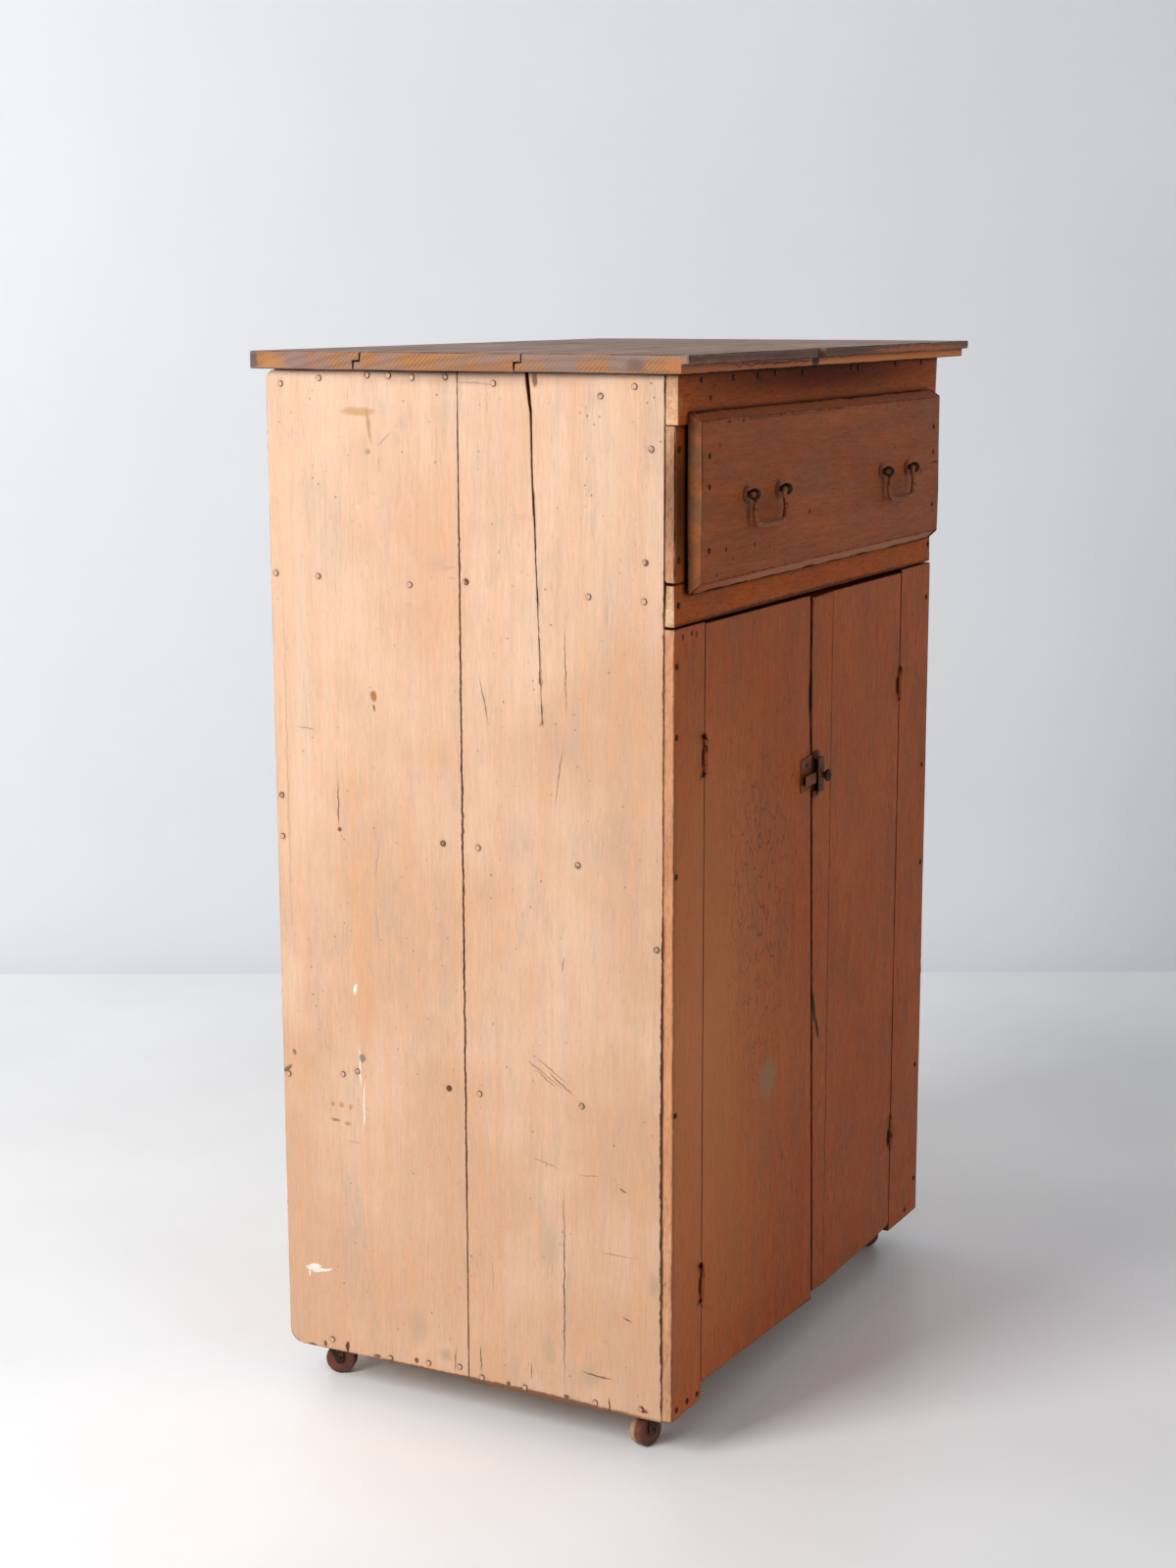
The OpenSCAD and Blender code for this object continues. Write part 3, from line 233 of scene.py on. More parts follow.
    # Cracks: a net stretched along the grain, open only here and there and so broken into dashes of 1 to 2 cm
    netted = lengthwise(node, ragged(node, place, 0.02, 0.012), along, 0.3)
    net = node("TexVoronoi", {"Vector": netted, "Scale": 95.0}, feature="DISTANCE_TO_EDGE")
    where = node("TexNoise", {"Vector": patch, "Scale": 80.0, "Detail": 4.0, "Roughness": 0.7})
    opened = node("MapRange", [where, 0.56, 0.68, 0.0, crackle])
    if crazed:
        opened = node("Math", [opened, blot(node, place, *crazed, edge=0.8)])
    cracks = node("Math", [node("MapRange", [net, 0.01, 0.05, 1.0, 0.0]), opened], operation="MULTIPLY")
    coats += [(share, deep) for share in (scratches, flecks, cracks)]
    # Single stains, chips and hairlines at their places
    colour = laid_over(node, laid_over(node, main, coats),
                       spotted(node, ragged(node, place, 0.012, 0.006), marks))
    # Paint lost along the edges in chips up to 5 mm wide, down to orange wood
    chips = node("TexNoise", {"Vector": chipped, "Scale": 150.0, "Detail": 5.0, "Roughness": 0.7})
    uneven = node("MapRange", [chips, 0.3, 0.7, -0.15, 0.045])
    lost = node("MapRange", [node("Math", [edge_share(node, 0.0036), uneven]), 0.06, 0.11])
    # The inner faces were never painted
    bare = laid_over(node, linear("#B48A5E"), [(node("MapRange", [brush, 0.35, 0.7]), linear("#7D5635"))])
    # Lost paint, bare inner faces, and last the joints and hollows darkened by ambient occlusion: dirt and
    # painted shade
    colour = laid_over(node, colour, [(lost, wood), (facing_inward(node, place, turned, inner), bare),
                                      (dirt_and_shade_in_hollows(node, 0.009, 0.42, 0.94, 0.9), hollow_dirt_and_shade_colour)])
    gloss = node("Math", [node("MapRange", [brush, 0.3, 0.7, 0.42, 0.6]),
                          node("MapRange", [lost, 0.0, 1.0, 0.0, 0.25])])
    finest = node("Math", [fibre, 0.2], operation="MULTIPLY")
    height = node("Math", [brush, 0.5, finest], operation="MULTIPLY_ADD")
    for mask, depth in ((cracks, -1.2), (scratches, -0.5), (flecks, -1.6), (lost, -0.9)):
        height = node("Math", [mask, depth, height], operation="MULTIPLY_ADD")
    bump = node("Bump", {"Height": height, "Strength": 0.55, "Distance": 0.0005})
    shader.inputs["Specular IOR Level"].default_value = shine
    join(material, shader, Base_Color=colour, Roughness=gloss, Normal=bump)
    return material


def pine_board(name, along, across, colours, gloss, sawn=0.0, wear=0.5, marks=(), shine=0.5):
    """Old softwood boards, stained or bare: growth rings drawn out along the grain, knots, darker sawn ends.
    The eye gets long wavering dark lines 5 to 10 mm apart, worn pale or grey between them."""
    material, shader, node, place, turned = start_material(name)
    early, late, worn, knot, end, end_dark, end_worn = [linear(code) for code in colours]
    drawn, run, streaked, calm = [lengthwise(node, place, along, share) for share in (0.12, 0.04, 0.14, 0.2)]
    rings = node("TexWave", {"Vector": ragged(node, drawn, 0.09, 0.05), "Scale": 34.0, "Distortion": 3.0,
                             "Detail": 3.0, "Detail Scale": 2.0, "Detail Roughness": 0.6},
                 bands_direction=across)
    fibre = node("TexNoise", {"Vector": run, "Scale": 520.0, "Detail": 5.0, "Roughness": 0.7})
    broad = node("TexNoise", {"Vector": streaked, "Scale": 34.0, "Detail": 8.0, "Roughness": 0.62})
    # The figure is strong in some stretches and nearly gone in others
    stretch = node("TexNoise", {"Vector": calm, "Scale": 14.0, "Detail": 3.0})
    figure = node("Math", [node("MapRange", [rings, 0.35, 0.95]),
                           node("MapRange", [stretch, 0.38, 0.62, 0.12, 0.85])], operation="MULTIPLY")
    # Knots 2 cm across, one in each half metre or so
    cells = node("TexVoronoi", {"Vector": lengthwise(node, ragged(node, place, 0.03, 0.01), along, 0.6),
                                "Scale": 3.4})
    coats = [(figure, late), (node("MapRange", [fibre, 0.4, 0.75, 0.0, 0.4]), late),
             # Worn streaks; on the top their pale lilac-grey is also painted sheen
             (node("MapRange", [broad, 0.3, 0.64, 0.0, wear]), worn),
             (node("MapRange", [cells.outputs["Distance"], 0.022, 0.045, 0.9, 0.0]), knot)]
    # Ends: short dark arcs and slanting saw marks 4 mm apart
    facing = node("Math", [node("SeparateXYZ", [turned]).outputs[along]], operation="ABSOLUTE")
    at_end = node("Math", [facing, 0.75], operation="GREATER_THAN")
    centred = node("Mapping", {"Vector": place, "Location": (0.1, 0.16, 0.05)})
    arcs = node("TexWave", {"Vector": centred, "Scale": 30.0, "Distortion": 1.5, "Detail": 2.0},
                wave_type="RINGS", rings_direction=along)
    saw = node("TexWave", {"Vector": place, "Scale": 105.0, "Distortion": 1.2}, bands_direction="DIAGONAL")
    patches = node("TexNoise", {"Vector": place, "Scale": 11.0, "Detail": 4.0, "Roughness": 0.6})
    lines = node("Math", [node("MapRange", [saw, 0.55, 1.0]),
                          node("MapRange", [patches, 0.35, 0.6, 0.0, sawn])], operation="MULTIPLY")
    cut = laid_over(node, end, [(node("MapRange", [patches, 0.45, 0.55]), end_worn),
                                (node("MapRange", [arcs, 0.3, 1.0, 0.0, 0.2]), end_dark), (lines, end_dark)])
    colour = laid_over(node, early, [*coats, (at_end, cut)])
    colour = laid_over(node, colour, spotted(node, ragged(node, place, 0.02, 0.012), marks))
    uneven = node("MapRange", [fibre, 0.3, 0.7, -0.1, 0.1])
    edges = node("MapRange", [node("Math", [edge_share(node, 0.004), uneven]), 0.06, 0.16])
    # Worn edges in the end colour, then hollows and joints darkened by ambient occlusion in the knot colour:
    # dirt and painted shade
    colour = laid_over(node, colour, [(node("Math", [edges, 0.6], operation="MULTIPLY"), end),
                                      (dirt_and_shade_in_hollows(node, 0.012, 0.3, 0.85, 0.85), knot)])
    rough = node("MapRange", [fibre, 0.3, 0.7, gloss, gloss + 0.2])
    ridges = node("Math", [rings, 0.3], operation="MULTIPLY")
    height = node("Math", [fibre, 0.5, ridges], operation="MULTIPLY_ADD")
    bump = node("Bump", {"Height": height, "Strength": 0.5, "Distance": 0.0006})
    shader.inputs["Specular IOR Level"].default_value = shine
    join(material, shader, Base_Color=colour, Roughness=rough, Normal=bump)
    return material


def old_iron(name, colours, rusting, grain=0.004, painted_behind=None):
    """Forged or pressed iron left to rust: dull dark skin, orange-brown bloom, edges rubbed brighter.
    The eye gets a dark shape with warm mottling and a little shine only on its rims."""
    material, shader, node, place, _ = start_material(name)
    skin, rust, bloom, rubbed = [linear(code) for code in colours]
    mottle = node("TexNoise", {"Vector": place, "Scale": 1 / grain, "Detail": 6.0, "Roughness": 0.7})
    pits = node("TexNoise", {"Vector": place, "Scale": 5 / grain, "Detail": 3.0, "Roughness": 0.6})
    rusted = node("MapRange", [mottle, 0.62 - 0.3 * rusting, 0.72 - 0.2 * rusting])
    uneven = node("MapRange", [pits, 0.3, 0.7, -0.1, 0.1])
    rims = node("MapRange", [node("Math", [edge_share(node, 0.0012), uneven]), 0.05, 0.18])
    coats = [(rusted, rust), (node("MapRange", [pits, 0.5, 0.7, 0.0, 0.7]), bloom),
             (node("Math", [rims, 0.75], operation="MULTIPLY"), rubbed)]
    metal = node("MapRange", [rusted, 0.0, 1.0, 0.75, 0.1])
    if painted_behind:
        plane, code = painted_behind
        rear = node("Math", [node("SeparateXYZ", [place]).outputs["Y"], plane], operation="GREATER_THAN")
        coats.append((rear, linear(code)))
        metal = node("Math", [metal, node("Math", [1.0, rear], operation="SUBTRACT")], operation="MULTIPLY")
    rough = node("MapRange", [mottle, 0.3, 0.7, 0.38, 0.72])
    height = node("Math", [pits, 0.4, mottle], operation="MULTIPLY_ADD")
    bump = node("Bump", {"Height": height, "Strength": 0.6, "Distance": 0.0004})
    colour = laid_over(node, skin, coats)
    join(material, shader, Base_Color=colour, Metallic=metal, Roughness=rough, Normal=bump)
    return material


def painted_iron(name, codes, cover, rim=0.0012, ring=0.0):
    """Iron nails and hinges painted over with the boards: paint on the faces, rust where it is rubbed off.
    The eye gets a small shape in the boards' colour with a dark rusty rim."""
    material, shader, node, place, turned = start_material(name)
    skin, rust, paint = [linear(code) for code in codes]
    mottle = node("TexNoise", {"Vector": place, "Scale": 260.0, "Detail": 5.0, "Roughness": 0.7})
    which = node("TexNoise", {"Vector": place, "Scale": 40.0, "Detail": 1.0})
    mixed = node("Math", [node("Math", [mottle, 0.5], operation="MULTIPLY"), which])
    hidden = node("MapRange", [mixed, 0.57 + 0.4 * cover, 0.5 + 0.4 * cover, 0.0, 1.0])
    rims = node("MapRange", [edge_share(node, rim), 0.012, 0.06, 1.0, 0.0])
    # A brown ring where the surface turns away from the board
    ways = node("SeparateXYZ", [node("VectorMath", [turned], operation="ABSOLUTE")])
    flattest = node("Math", [ways.outputs["X"], ways.outputs["Y"]], operation="MAXIMUM")
    # Rust mottling, the paint, the brown ring, and last dirt and painted shade from ambient occlusion
    coats = [(node("MapRange", [mottle, 0.4, 0.6]), rust),
             (node("Math", [hidden, rims], operation="MULTIPLY"), paint),
             (node("MapRange", [flattest, 0.9, 0.998, ring, 0.0]), skin),
             (dirt_and_shade_in_hollows(node, 0.004, 0.3, 0.75, 0.9), skin)]
    shader.inputs["Roughness"].default_value = 0.6
    shader.inputs["Specular IOR Level"].default_value = 0.15
    bump = node("Bump", {"Height": mottle, "Strength": 0.5, "Distance": 0.0004})
    join(material, shader, Base_Color=laid_over(node, skin, coats), Normal=bump)
    return material


# Modelling steps

# Wear of the boards, lengths in metres
STRIP_WIDTHS = (0.0022, 0.004)  # the strips of faces laid inside the outline of a broad face
BROAD_FACE = 0.0006  # square metres from which a face gets strips
BROAD_SIDE = 0.03  # width from which a board is cut up across the grain too
TOUCH = 0.001  # how near a point lies to the edge that stays square
CORNER = 0.985  # a point whose normal has no greater part along an axis is on an edge
SWAY_SIZE, RUB_SIZE, NICK_SIZE = 0.16, 0.045, 0.0055  # the size of each pattern of wear
NEXT_SEED = 1.7  # how far the patterns move from one board to the next
# Angles above which an edge stays sharp
SHARP_WOOD, SHARP_IRON = math.radians(32), math.radians(40)


def select_only(piece):
    """Goes to object mode with one piece selected and active, or none."""
    if bpy.context.object and bpy.context.object.mode == "EDIT":
        bpy.ops.object.mode_set(mode="OBJECT")
    bpy.ops.object.select_all(action="DESELECT")
    bpy.context.view_layer.objects.active = piece
    if piece:
        piece.select_set(True)


def new_object(name, data):
    """A new object that is part of the scene."""
    made = bpy.data.objects.new(name, data)
    bpy.context.scene.collection.objects.link(made)
    return made


def board_copy(node, name):
    """A copy of one CAD node with its loose triangles merged into whole faces."""
    piece = new_object(name, NODES[node].data.copy())
    piece.data.materials.clear()
    select_only(piece)
    bpy.ops.object.mode_set(mode="EDIT")
    bpy.ops.mesh.select_all(action="SELECT")
    bpy.ops.mesh.remove_doubles(threshold=1e-5)
    bpy.ops.mesh.dissolve_limited(angle_limit=math.radians(0.5))
    bpy.ops.object.mode_set(mode="OBJECT")
    return piece


def cut_across(piece, axis, step):
    """Cuts the whole piece into slices along one axis, so that its edges can wear unevenly."""
    low, high = extent(piece, axis)
    normal = AXES[axis]
    count = max(int(round((high - low) / step)), 1)
    select_only(piece)
    bpy.ops.object.mode_set(mode="EDIT")
    for i in range(1, count):
        bpy.ops.mesh.select_all(action="SELECT")
        bpy.ops.mesh.bisect(plane_co=normal * (low + (high - low) * i / count), plane_no=normal)
    bpy.ops.object.mode_set(mode="OBJECT")


def extent(piece, axis):
    """The lowest and the highest place of a piece's points along one axis."""
    k = "XYZ".index(axis)
    places = [v.co[k] for v in piece.data.vertices]
    return min(places), max(places)


def modify(piece, kind, **settings):
    """Adds one modifier with its settings and applies it."""
    select_only(piece)
    modifier = piece.modifiers.new(kind.lower(), kind)
    for name, value in settings.items():
        setattr(modifier, name, value)
    bpy.ops.object.modifier_apply(modifier=modifier.name)


def displace(piece, name, strength, size, seed, group="", contrast=1.0, mid=0.5):
    """Moves all points, or those of a group, along their normals by a cloud pattern of a real size."""
    clouds = bpy.data.textures.new(name, "CLOUDS")
    clouds.noise_scale = size
    clouds.noise_depth = 2
    clouds.contrast = contrast
    origin = new_object(name + "_origin", None)
    origin.location = (seed, seed * 0.37, seed * 0.71)
    bpy.context.view_layer.update()
    modify(piece, "DISPLACE", texture=clouds, texture_coords="OBJECT", texture_coords_object=origin,
           strength=strength, mid_level=mid, vertex_group=group)
    bpy.data.objects.remove(origin)


def clear_flags(piece, kind="VERT"):
    """Leaves nothing of a piece selected, so that the flags set next are the only ones."""
    select_only(piece)
    bpy.ops.object.mode_set(mode="EDIT")
    bpy.ops.mesh.select_mode(type=kind)
    bpy.ops.mesh.select_all(action="DESELECT")
    bpy.ops.object.mode_set(mode="OBJECT")


def edge_strips(piece, thickness):
    """Lays a narrow strip of faces just inside the outline of every broad face, to keep wear at the edges."""
    select_only(piece)
    for polygon in piece.data.polygons:
        polygon.select = polygon.area > BROAD_FACE and max(abs(c) for c in polygon.normal) > 0.999
    bpy.ops.object.mode_set(mode="EDIT")
    bpy.ops.mesh.select_mode(type="FACE")
    bpy.ops.mesh.inset(thickness=thickness, use_even_offset=True, use_boundary=True)
    bpy.ops.mesh.select_mode(type="VERT")
    bpy.ops.object.mode_set(mode="OBJECT")


def weather(piece, along, wear, seed, slices=0.005, planks=0.06, whole=None):
    """Rounds a board's edges, then lets them wear and chip, and gives its faces a faint unevenness.
    The edges at the place along X that whole gives lie against a neighbour and stay square."""
    kept = -math.inf if whole is None else whole
    points = piece.data.vertices
    clear_flags(piece, "EDGE")
    for edge in piece.data.edges:
        edge.select = any(abs(points[i].co.x - kept) > TOUCH for i in edge.vertices)
    bpy.ops.object.mode_set(mode="EDIT")
    bpy.ops.mesh.bevel(offset=wear.arris, segments=2, profile=0.6, affect="EDGES", clamp_overlap=True)
    bpy.ops.mesh.select_mode(type="VERT")
    bpy.ops.object.mode_set(mode="OBJECT")
    for width in STRIP_WIDTHS:
        edge_strips(piece, width)
    cut_across(piece, along, slices)
    for axis in "XYZ".replace(along, ""):
        low, high = extent(piece, axis)
        if high - low > BROAD_SIDE:
            cut_across(piece, axis, planks)
    corners = [v.index for v in piece.data.vertices
               if max(abs(c) for c in v.normal) < CORNER and abs(v.co.x - kept) > 1.5 * TOUCH]
    piece.vertex_groups.new(name="arris").add(corners, 1.0, "REPLACE")
    displace(piece, "sway", wear.sway, SWAY_SIZE, seed)
    displace(piece, "rub", wear.rub, RUB_SIZE, seed + 3, group="arris", contrast=2.2, mid=0.85)
    displace(piece, "nicks", wear.nick, NICK_SIZE, seed + 7, group="arris", contrast=2.6, mid=0.95)
    select_only(piece)
    bpy.ops.object.shade_smooth_by_angle(angle=SHARP_WOOD)
    modify(piece, "WEIGHTED_NORMAL", keep_sharp=True)


def stand_in(piece, node, material):
    """Puts a finished piece in the place of the CAD node that it was shaped from."""
    piece.data.materials.append(material)
    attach(piece, BODY[node])
    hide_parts(node)


def dress_board(node, along, material, wear, seed, slices=0.005, planks=0.06):
    """Stands a weathered copy in for a CAD board, on the same body."""
    piece = board_copy(node, node + "_worn")
    weather(piece, along, wear, seed, slices, planks)
    stand_in(piece, node, material)


def move_points(piece, chosen, by):
    """Moves the points of a piece that a test of their place picks out."""
    clear_flags(piece)
    for vertex in piece.data.vertices:
        vertex.select = chosen(vertex.co)
    bpy.ops.object.mode_set(mode="EDIT")
    bpy.ops.transform.translate(value=by)
    bpy.ops.object.mode_set(mode="OBJECT")


def forge(node, material, skin, relief, rust=0.0):
    """A closely meshed copy of an iron or wooden piece: edges softened, surface uneven as if hammered, cast
    or turned, and thickened all over by its rust."""
    piece = board_copy(node, node + "_forged")
    modify(piece, "REMESH", mode="VOXEL", voxel_size=skin)
    modify(piece, "SMOOTH", factor=0.5, iterations=3)
    if rust:
        modify(piece, "DISPLACE", strength=rust, mid_level=0.0)
    displace(piece, "pits", relief, skin * 5, 1.0, contrast=1.6, mid=0.55)
    select_only(piece)
    bpy.ops.object.shade_smooth()
    stand_in(piece, node, material)


def soften(node, material, radius, coat=0.0):
    """A copy of a small iron piece, thickened by its coat of rust or paint, its sharp edges rounded."""
    piece = board_copy(node, node + "_rounded")
    if coat:
        modify(piece, "DISPLACE", strength=coat, mid_level=0.0)
    modify(piece, "BEVEL", width=radius, segments=3, limit_method="ANGLE", angle_limit=SHARP_IRON)
    select_only(piece)
    bpy.ops.object.shade_smooth_by_angle(angle=SHARP_IRON)
    stand_in(piece, node, material)


def finish_nodes(material, *nodes):
    """Gives CAD nodes whose shape is right their finish."""
    for node in nodes:
        slots = NODES[node].data.materials
        slots.clear()
        slots.append(material)


# Settings

class CupboardPaint(bpy.types.PropertyGroup):
    """Colours of the paint and the boards, as sRGB hex."""
    side: bpy.props.StringProperty(
        name="Side paint", description="Paint on the sides", default="#CFA17F")
    # Painted light: the sides are paler high up, where more light falls
    side_upper_painted_light: bpy.props.StringProperty(
        name="Side paint, upper part", description="Paler paint high on the sides", default="#DBB497")
    # The front's paint is the sides' paint darkened: painted shade, as the front stands in shade
    front: bpy.props.StringProperty(
        name="Front paint", description="Handled paint on the front", default="#B85724")
    # Painted light: the front is paler high up
    front_upper_painted_light: bpy.props.StringProperty(
        name="Front paint, upper part", description="Paler paint high on the front", default="#BE5F2B")
    stain: bpy.props.StringProperty(
        name="Top stain", description="Stain of the top boards", default="#6E4E3C")
    bare: bpy.props.StringProperty(
        name="Bare wood", description="Unpainted boards inside and behind", default="#B48A5E")
    iron: bpy.props.StringProperty(
        name="Iron", description="Skin of the pulls, latch and casters", default="#241A15")


class CupboardWear(bpy.types.PropertyGroup):
    """How worn the boards are."""
    arris: bpy.props.FloatProperty(
        name="Edge rounding", description="Width of the worn round along each edge",
        default=0.0012, min=0.0004, max=0.003, unit="LENGTH", subtype="DISTANCE")
    sway: bpy.props.FloatProperty(
        name="Unevenness", description="Depth of the waves in the boards' faces",
        default=0.0005, min=0.0, max=0.001, unit="LENGTH", subtype="DISTANCE")
    rub: bpy.props.FloatProperty(
        name="Rubbing", description="Depth of the long rubbed stretches of the edges",
        default=0.0016, min=0.0, max=0.003, unit="LENGTH", subtype="DISTANCE")
    nick: bpy.props.FloatProperty(
        name="Nicks", description="Depth of the small nicks in the edges",
        default=0.0014, min=0.0, max=0.003, unit="LENGTH", subtype="DISTANCE")


class CupboardStage(bpy.types.PropertyGroup):
    """The studio round the cupboard."""
    wall_distance: bpy.props.FloatProperty(
        name="Wall distance", description="From the cupboard's middle to the wall",
        default=2.05, min=1.2, max=4.0, unit="LENGTH", subtype="DISTANCE")
    key: bpy.props.FloatProperty(
        name="Key light", description="Strength of the light on the left side",
        default=126.0, min=0.0, unit="POWER")
    fill: bpy.props.FloatProperty(
        name="Fill light", description="Strength of the light near the camera",
        default=9.0, min=0.0, unit="POWER")
    wash: bpy.props.FloatProperty(
        name="Wall light", description="Strength of the light on the wall's left part",
        default=10.0, min=0.0, unit="POWER")
    air: bpy.props.FloatProperty(
        name="Room light", description="Strength of the light from all round", default=0.43, min=0.0)


# Marks seen in the photo

# The rows below are in millimetres and degrees. Each mark reaches 0.03 m through its face.
MM = 1000.0
THROUGH = 0.03


def side_marks(x, rows):
    """Marks on a face across X: rows of Y, Z, the reach along both, turn, colour, strength and softness."""
    return [((x, y / MM, z / MM), (THROUGH, wide / MM, tall / MM), (math.radians(turn), 0, 0), *look)
            for y, z, wide, tall, turn, *look in rows]


def front_marks(y, rows):
    """Marks on a face across Y: rows of X, Z, the reach along both, turn, colour, strength and softness."""
    return [((x / MM, y, z / MM), (wide / MM, THROUGH, tall / MM), (0, math.radians(turn), 0), *look)
            for x, z, wide, tall, turn, *look in rows]


# Stains, chips, hairlines and dirt of the left side, with painted shadow under the top and painted shade
# towards the front
SIDE_MARKS = side_marks(LEFT, (
    (152, 1222, 32, 7, 0, "#B98A5A", 0.85, 0.6), (137, 1206, 3.5, 28, -8, "#9A6B45", 0.6, 0.7),
    (-83, 1262, 5, 11, 0, "#6E3E20", 0.9, 0.5), (154, 1111, 2, 4, 0, "#E8DCCB", 0.7, 0.8),
    (30, 1046, 14, 2, -8, "#9A8672", 0.5, 0.8), (28, 1034, 10, 1.6, 0, "#9A8672", 0.45, 0.8),
    (137, 888, 5, 8, 0, "#9E6234", 0.95, 0.4), (137, 874, 2, 6, 0, "#4A2D1A", 0.8, 0.5),
    (190, 752, 1.4, 38, 0, "#4A3628", 0.8, 0.6), (189, 722, 4, 4, 0, "#3A281D", 0.8, 0.5),
    (171, 525, 2.6, 8, 8, "#F0E8DD", 0.9, 0.4), (166.5, 428, 1.2, 30, 0, "#EFE6DA", 0.85, 0.4),
    (161.5, 378, 1.2, 36, 3, "#EDE3D6", 0.8, 0.4), (163, 439, 6, 7, 0, "#5F5850", 0.7, 0.5),
    (241, 156.2, 14, 4.6, -12, "#E9E0D4", 0.9, 0.4), (229, 153.8, 19, 2.5, -12, "#E9E0D4", 0.9, 0.4),
    (247.5, 147, 1.4, 6, 0, "#EDE4D8", 0.85, 0.5), (17.1, 660, 1.5, 620, 0, "#2E120C", 0.9, 0.3),
    (-13.5, 894, 1.2, 36, -12, "#5A4130", 0.75, 0.6), (-120.5, 937, 1.2, 66, -1, "#6A4E3A", 0.8, 0.6),
    (-111.5, 812, 1.1, 46, 8, "#6A4E3A", 0.75, 0.6), (-93, 453, 36, 1.3, 30, "#8A7565", 0.7, 0.6),
    (-115.5, 195, 1.2, 152, 0, "#4E3828", 0.85, 0.5), (234, 843.5, 16, 1.5, 5, "#8F7F72", 0.7, 0.6),
    (273, 411, 12, 3, -38, "#55402F", 0.8, 0.5), (176, 330, 14, 1.8, 0, "#A38F7E", 0.6, 0.7),
    (0, 1257, 40, 1.3, 2, "#8C7867", 0.7, 0.6), (205, 986, 20, 6, 10, "#C7A993", 0.5, 0.8),
    (-60, 730, 28, 50, 0, "#B79C86", 0.35, 0.9), (89, 105, 20, 36, 0, "#A89478", 0.6, 0.9),
    (50, 76, 15, 12, 0, "#A48A6C", 0.55, 0.9), (-150, 86, 26, 22, 0, "#A89478", 0.55, 0.9),
    (-94, 245, 22, 45, 0, "#AE967C", 0.5, 0.9), (-94, 110, 13, 30, 0, "#A89478", 0.5, 0.9),
    # Painted shade: the broad soft blot that darkens the front board towards the front, and on the next line
    # the band under the top, the overhang's painted shadow
    (-235, 217, 12, 22, 0, "#A08A6C", 0.55, 0.9), (-200, 650, 140, 900, 0, "#A88262", 0.14, 1),
    (0, 1270, 300, 22, 0, "#80604A", 0.65, 1), (0, 47, 300, 8.5, 0, "#6A3E22", 0.92, 0.35),
    (-246, 360, 4.8, 420, 0, "#1C0D06", 0.97, 0.25), (-246.5, 900, 3.8, 340, 0, "#3E2214", 0.85, 0.4),
    (136, 690, 1.6, 36, 8, "#8C8A88", 0.6, 0.8), (138, 610, 1.4, 42, -4, "#8C8A88", 0.6, 0.8),
    (147, 552, 1.4, 20, -18, "#8C8A88", 0.6, 0.8), (207, 375, 4, 4, 10, "#B4813F", 0.85, 0.6),
    (194, 375, 6, 5, 0, "#B88A4C", 0.8, 0.6), (181, 374, 3, 5, 0, "#B4813F", 0.8, 0.6),
    (203, 354.5, 10, 2.8, 0, "#6E6248", 0.75, 0.7), (186, 352, 7, 4, 0, "#A87C44", 0.8, 0.6),
    (36, 72, 1.2, 17, 3, "#4A2C1A", 0.85, 0.5), (0, 80, 1.3, 20, 0, "#5A3822", 0.85, 0.5),
    (-70, 78, 1.1, 13, 0, "#6A4228", 0.8, 0.5), (-176, 56, 1.6, 12, 0, "#3E2214", 0.9, 0.5),
    (-222, 58, 6, 3, 0, "#5A3420", 0.85, 0.5), (-118, 55, 5, 3.6, 0, "#5A3420", 0.85, 0.5),
    (-38, 56, 4, 4, 0, "#4A2A18", 0.85, 0.5), (92, 60, 4, 5, 0, "#4A2A18", 0.85, 0.5),
    (150, 55, 7, 3, 0, "#5A3420", 0.85, 0.5), (226, 56, 3, 6, 0, "#4A2A18", 0.85, 0.5),
    (193, 58, 3, 10, 0, "#3A1F12", 0.95, 0.4), (245, 52, 8, 2.6, 0, "#3A1F12", 0.9, 0.5),
    (-100, 460, 30, 0.9, 32, "#7E5C44", 0.8, 0.5), (-92, 449, 20, 0.9, 34, "#7E5C44", 0.75, 0.5),
    (-112, 446, 26, 1, 36, "#6E4A32", 0.85, 0.5), (-78, 462, 14, 0.9, 30, "#7E5C44", 0.7, 0.5),
    (-116, 590, 1.2, 12, 10, "#7A563C", 0.7, 0.6), (-90, 345, 24, 1, 14, "#8A684C", 0.7, 0.6),
    (-150, 338, 18, 1, -6, "#8A684C", 0.6, 0.6), (-194, 327, 7, 1.6, 20, "#5A3C28", 0.85, 0.5),
    (-188, 246, 30, 0.9, 0, "#8A684C", 0.65, 0.6), (-200, 168, 8, 1.4, 24, "#5A3C28", 0.8, 0.5),
    (-18, 190, 1, 28, 0, "#8A684C", 0.5, 0.7), (-160, 90, 24, 1.2, 4, "#4E3220", 0.85, 0.5),
    (262, 800, 2.2, 300, 0, "#A98560", 0.45, 0.8), (117, 1190, 18, 1.2, -40, "#9A7A60", 0.6, 0.7),
    (124, 1163, 1.2, 16, 0, "#9A7A60", 0.5, 0.7), (139, 1176, 5, 5, 0, "#7E6C5C", 0.7, 0.6),
    (60, 1205, 1.1, 50, 3, "#B49A84", 0.5, 0.8), (78, 1150, 1.1, 40, 5, "#B49A84", 0.5, 0.8),
    (45, 1050, 26, 18, 0, "#B09480", 0.35, 0.9), (152, 1166, 30, 30, 0, "#C2A48C", 0.35, 0.9),
    (262, 434, 4, 4, 0, "#5E5850", 0.8, 0.5),
))
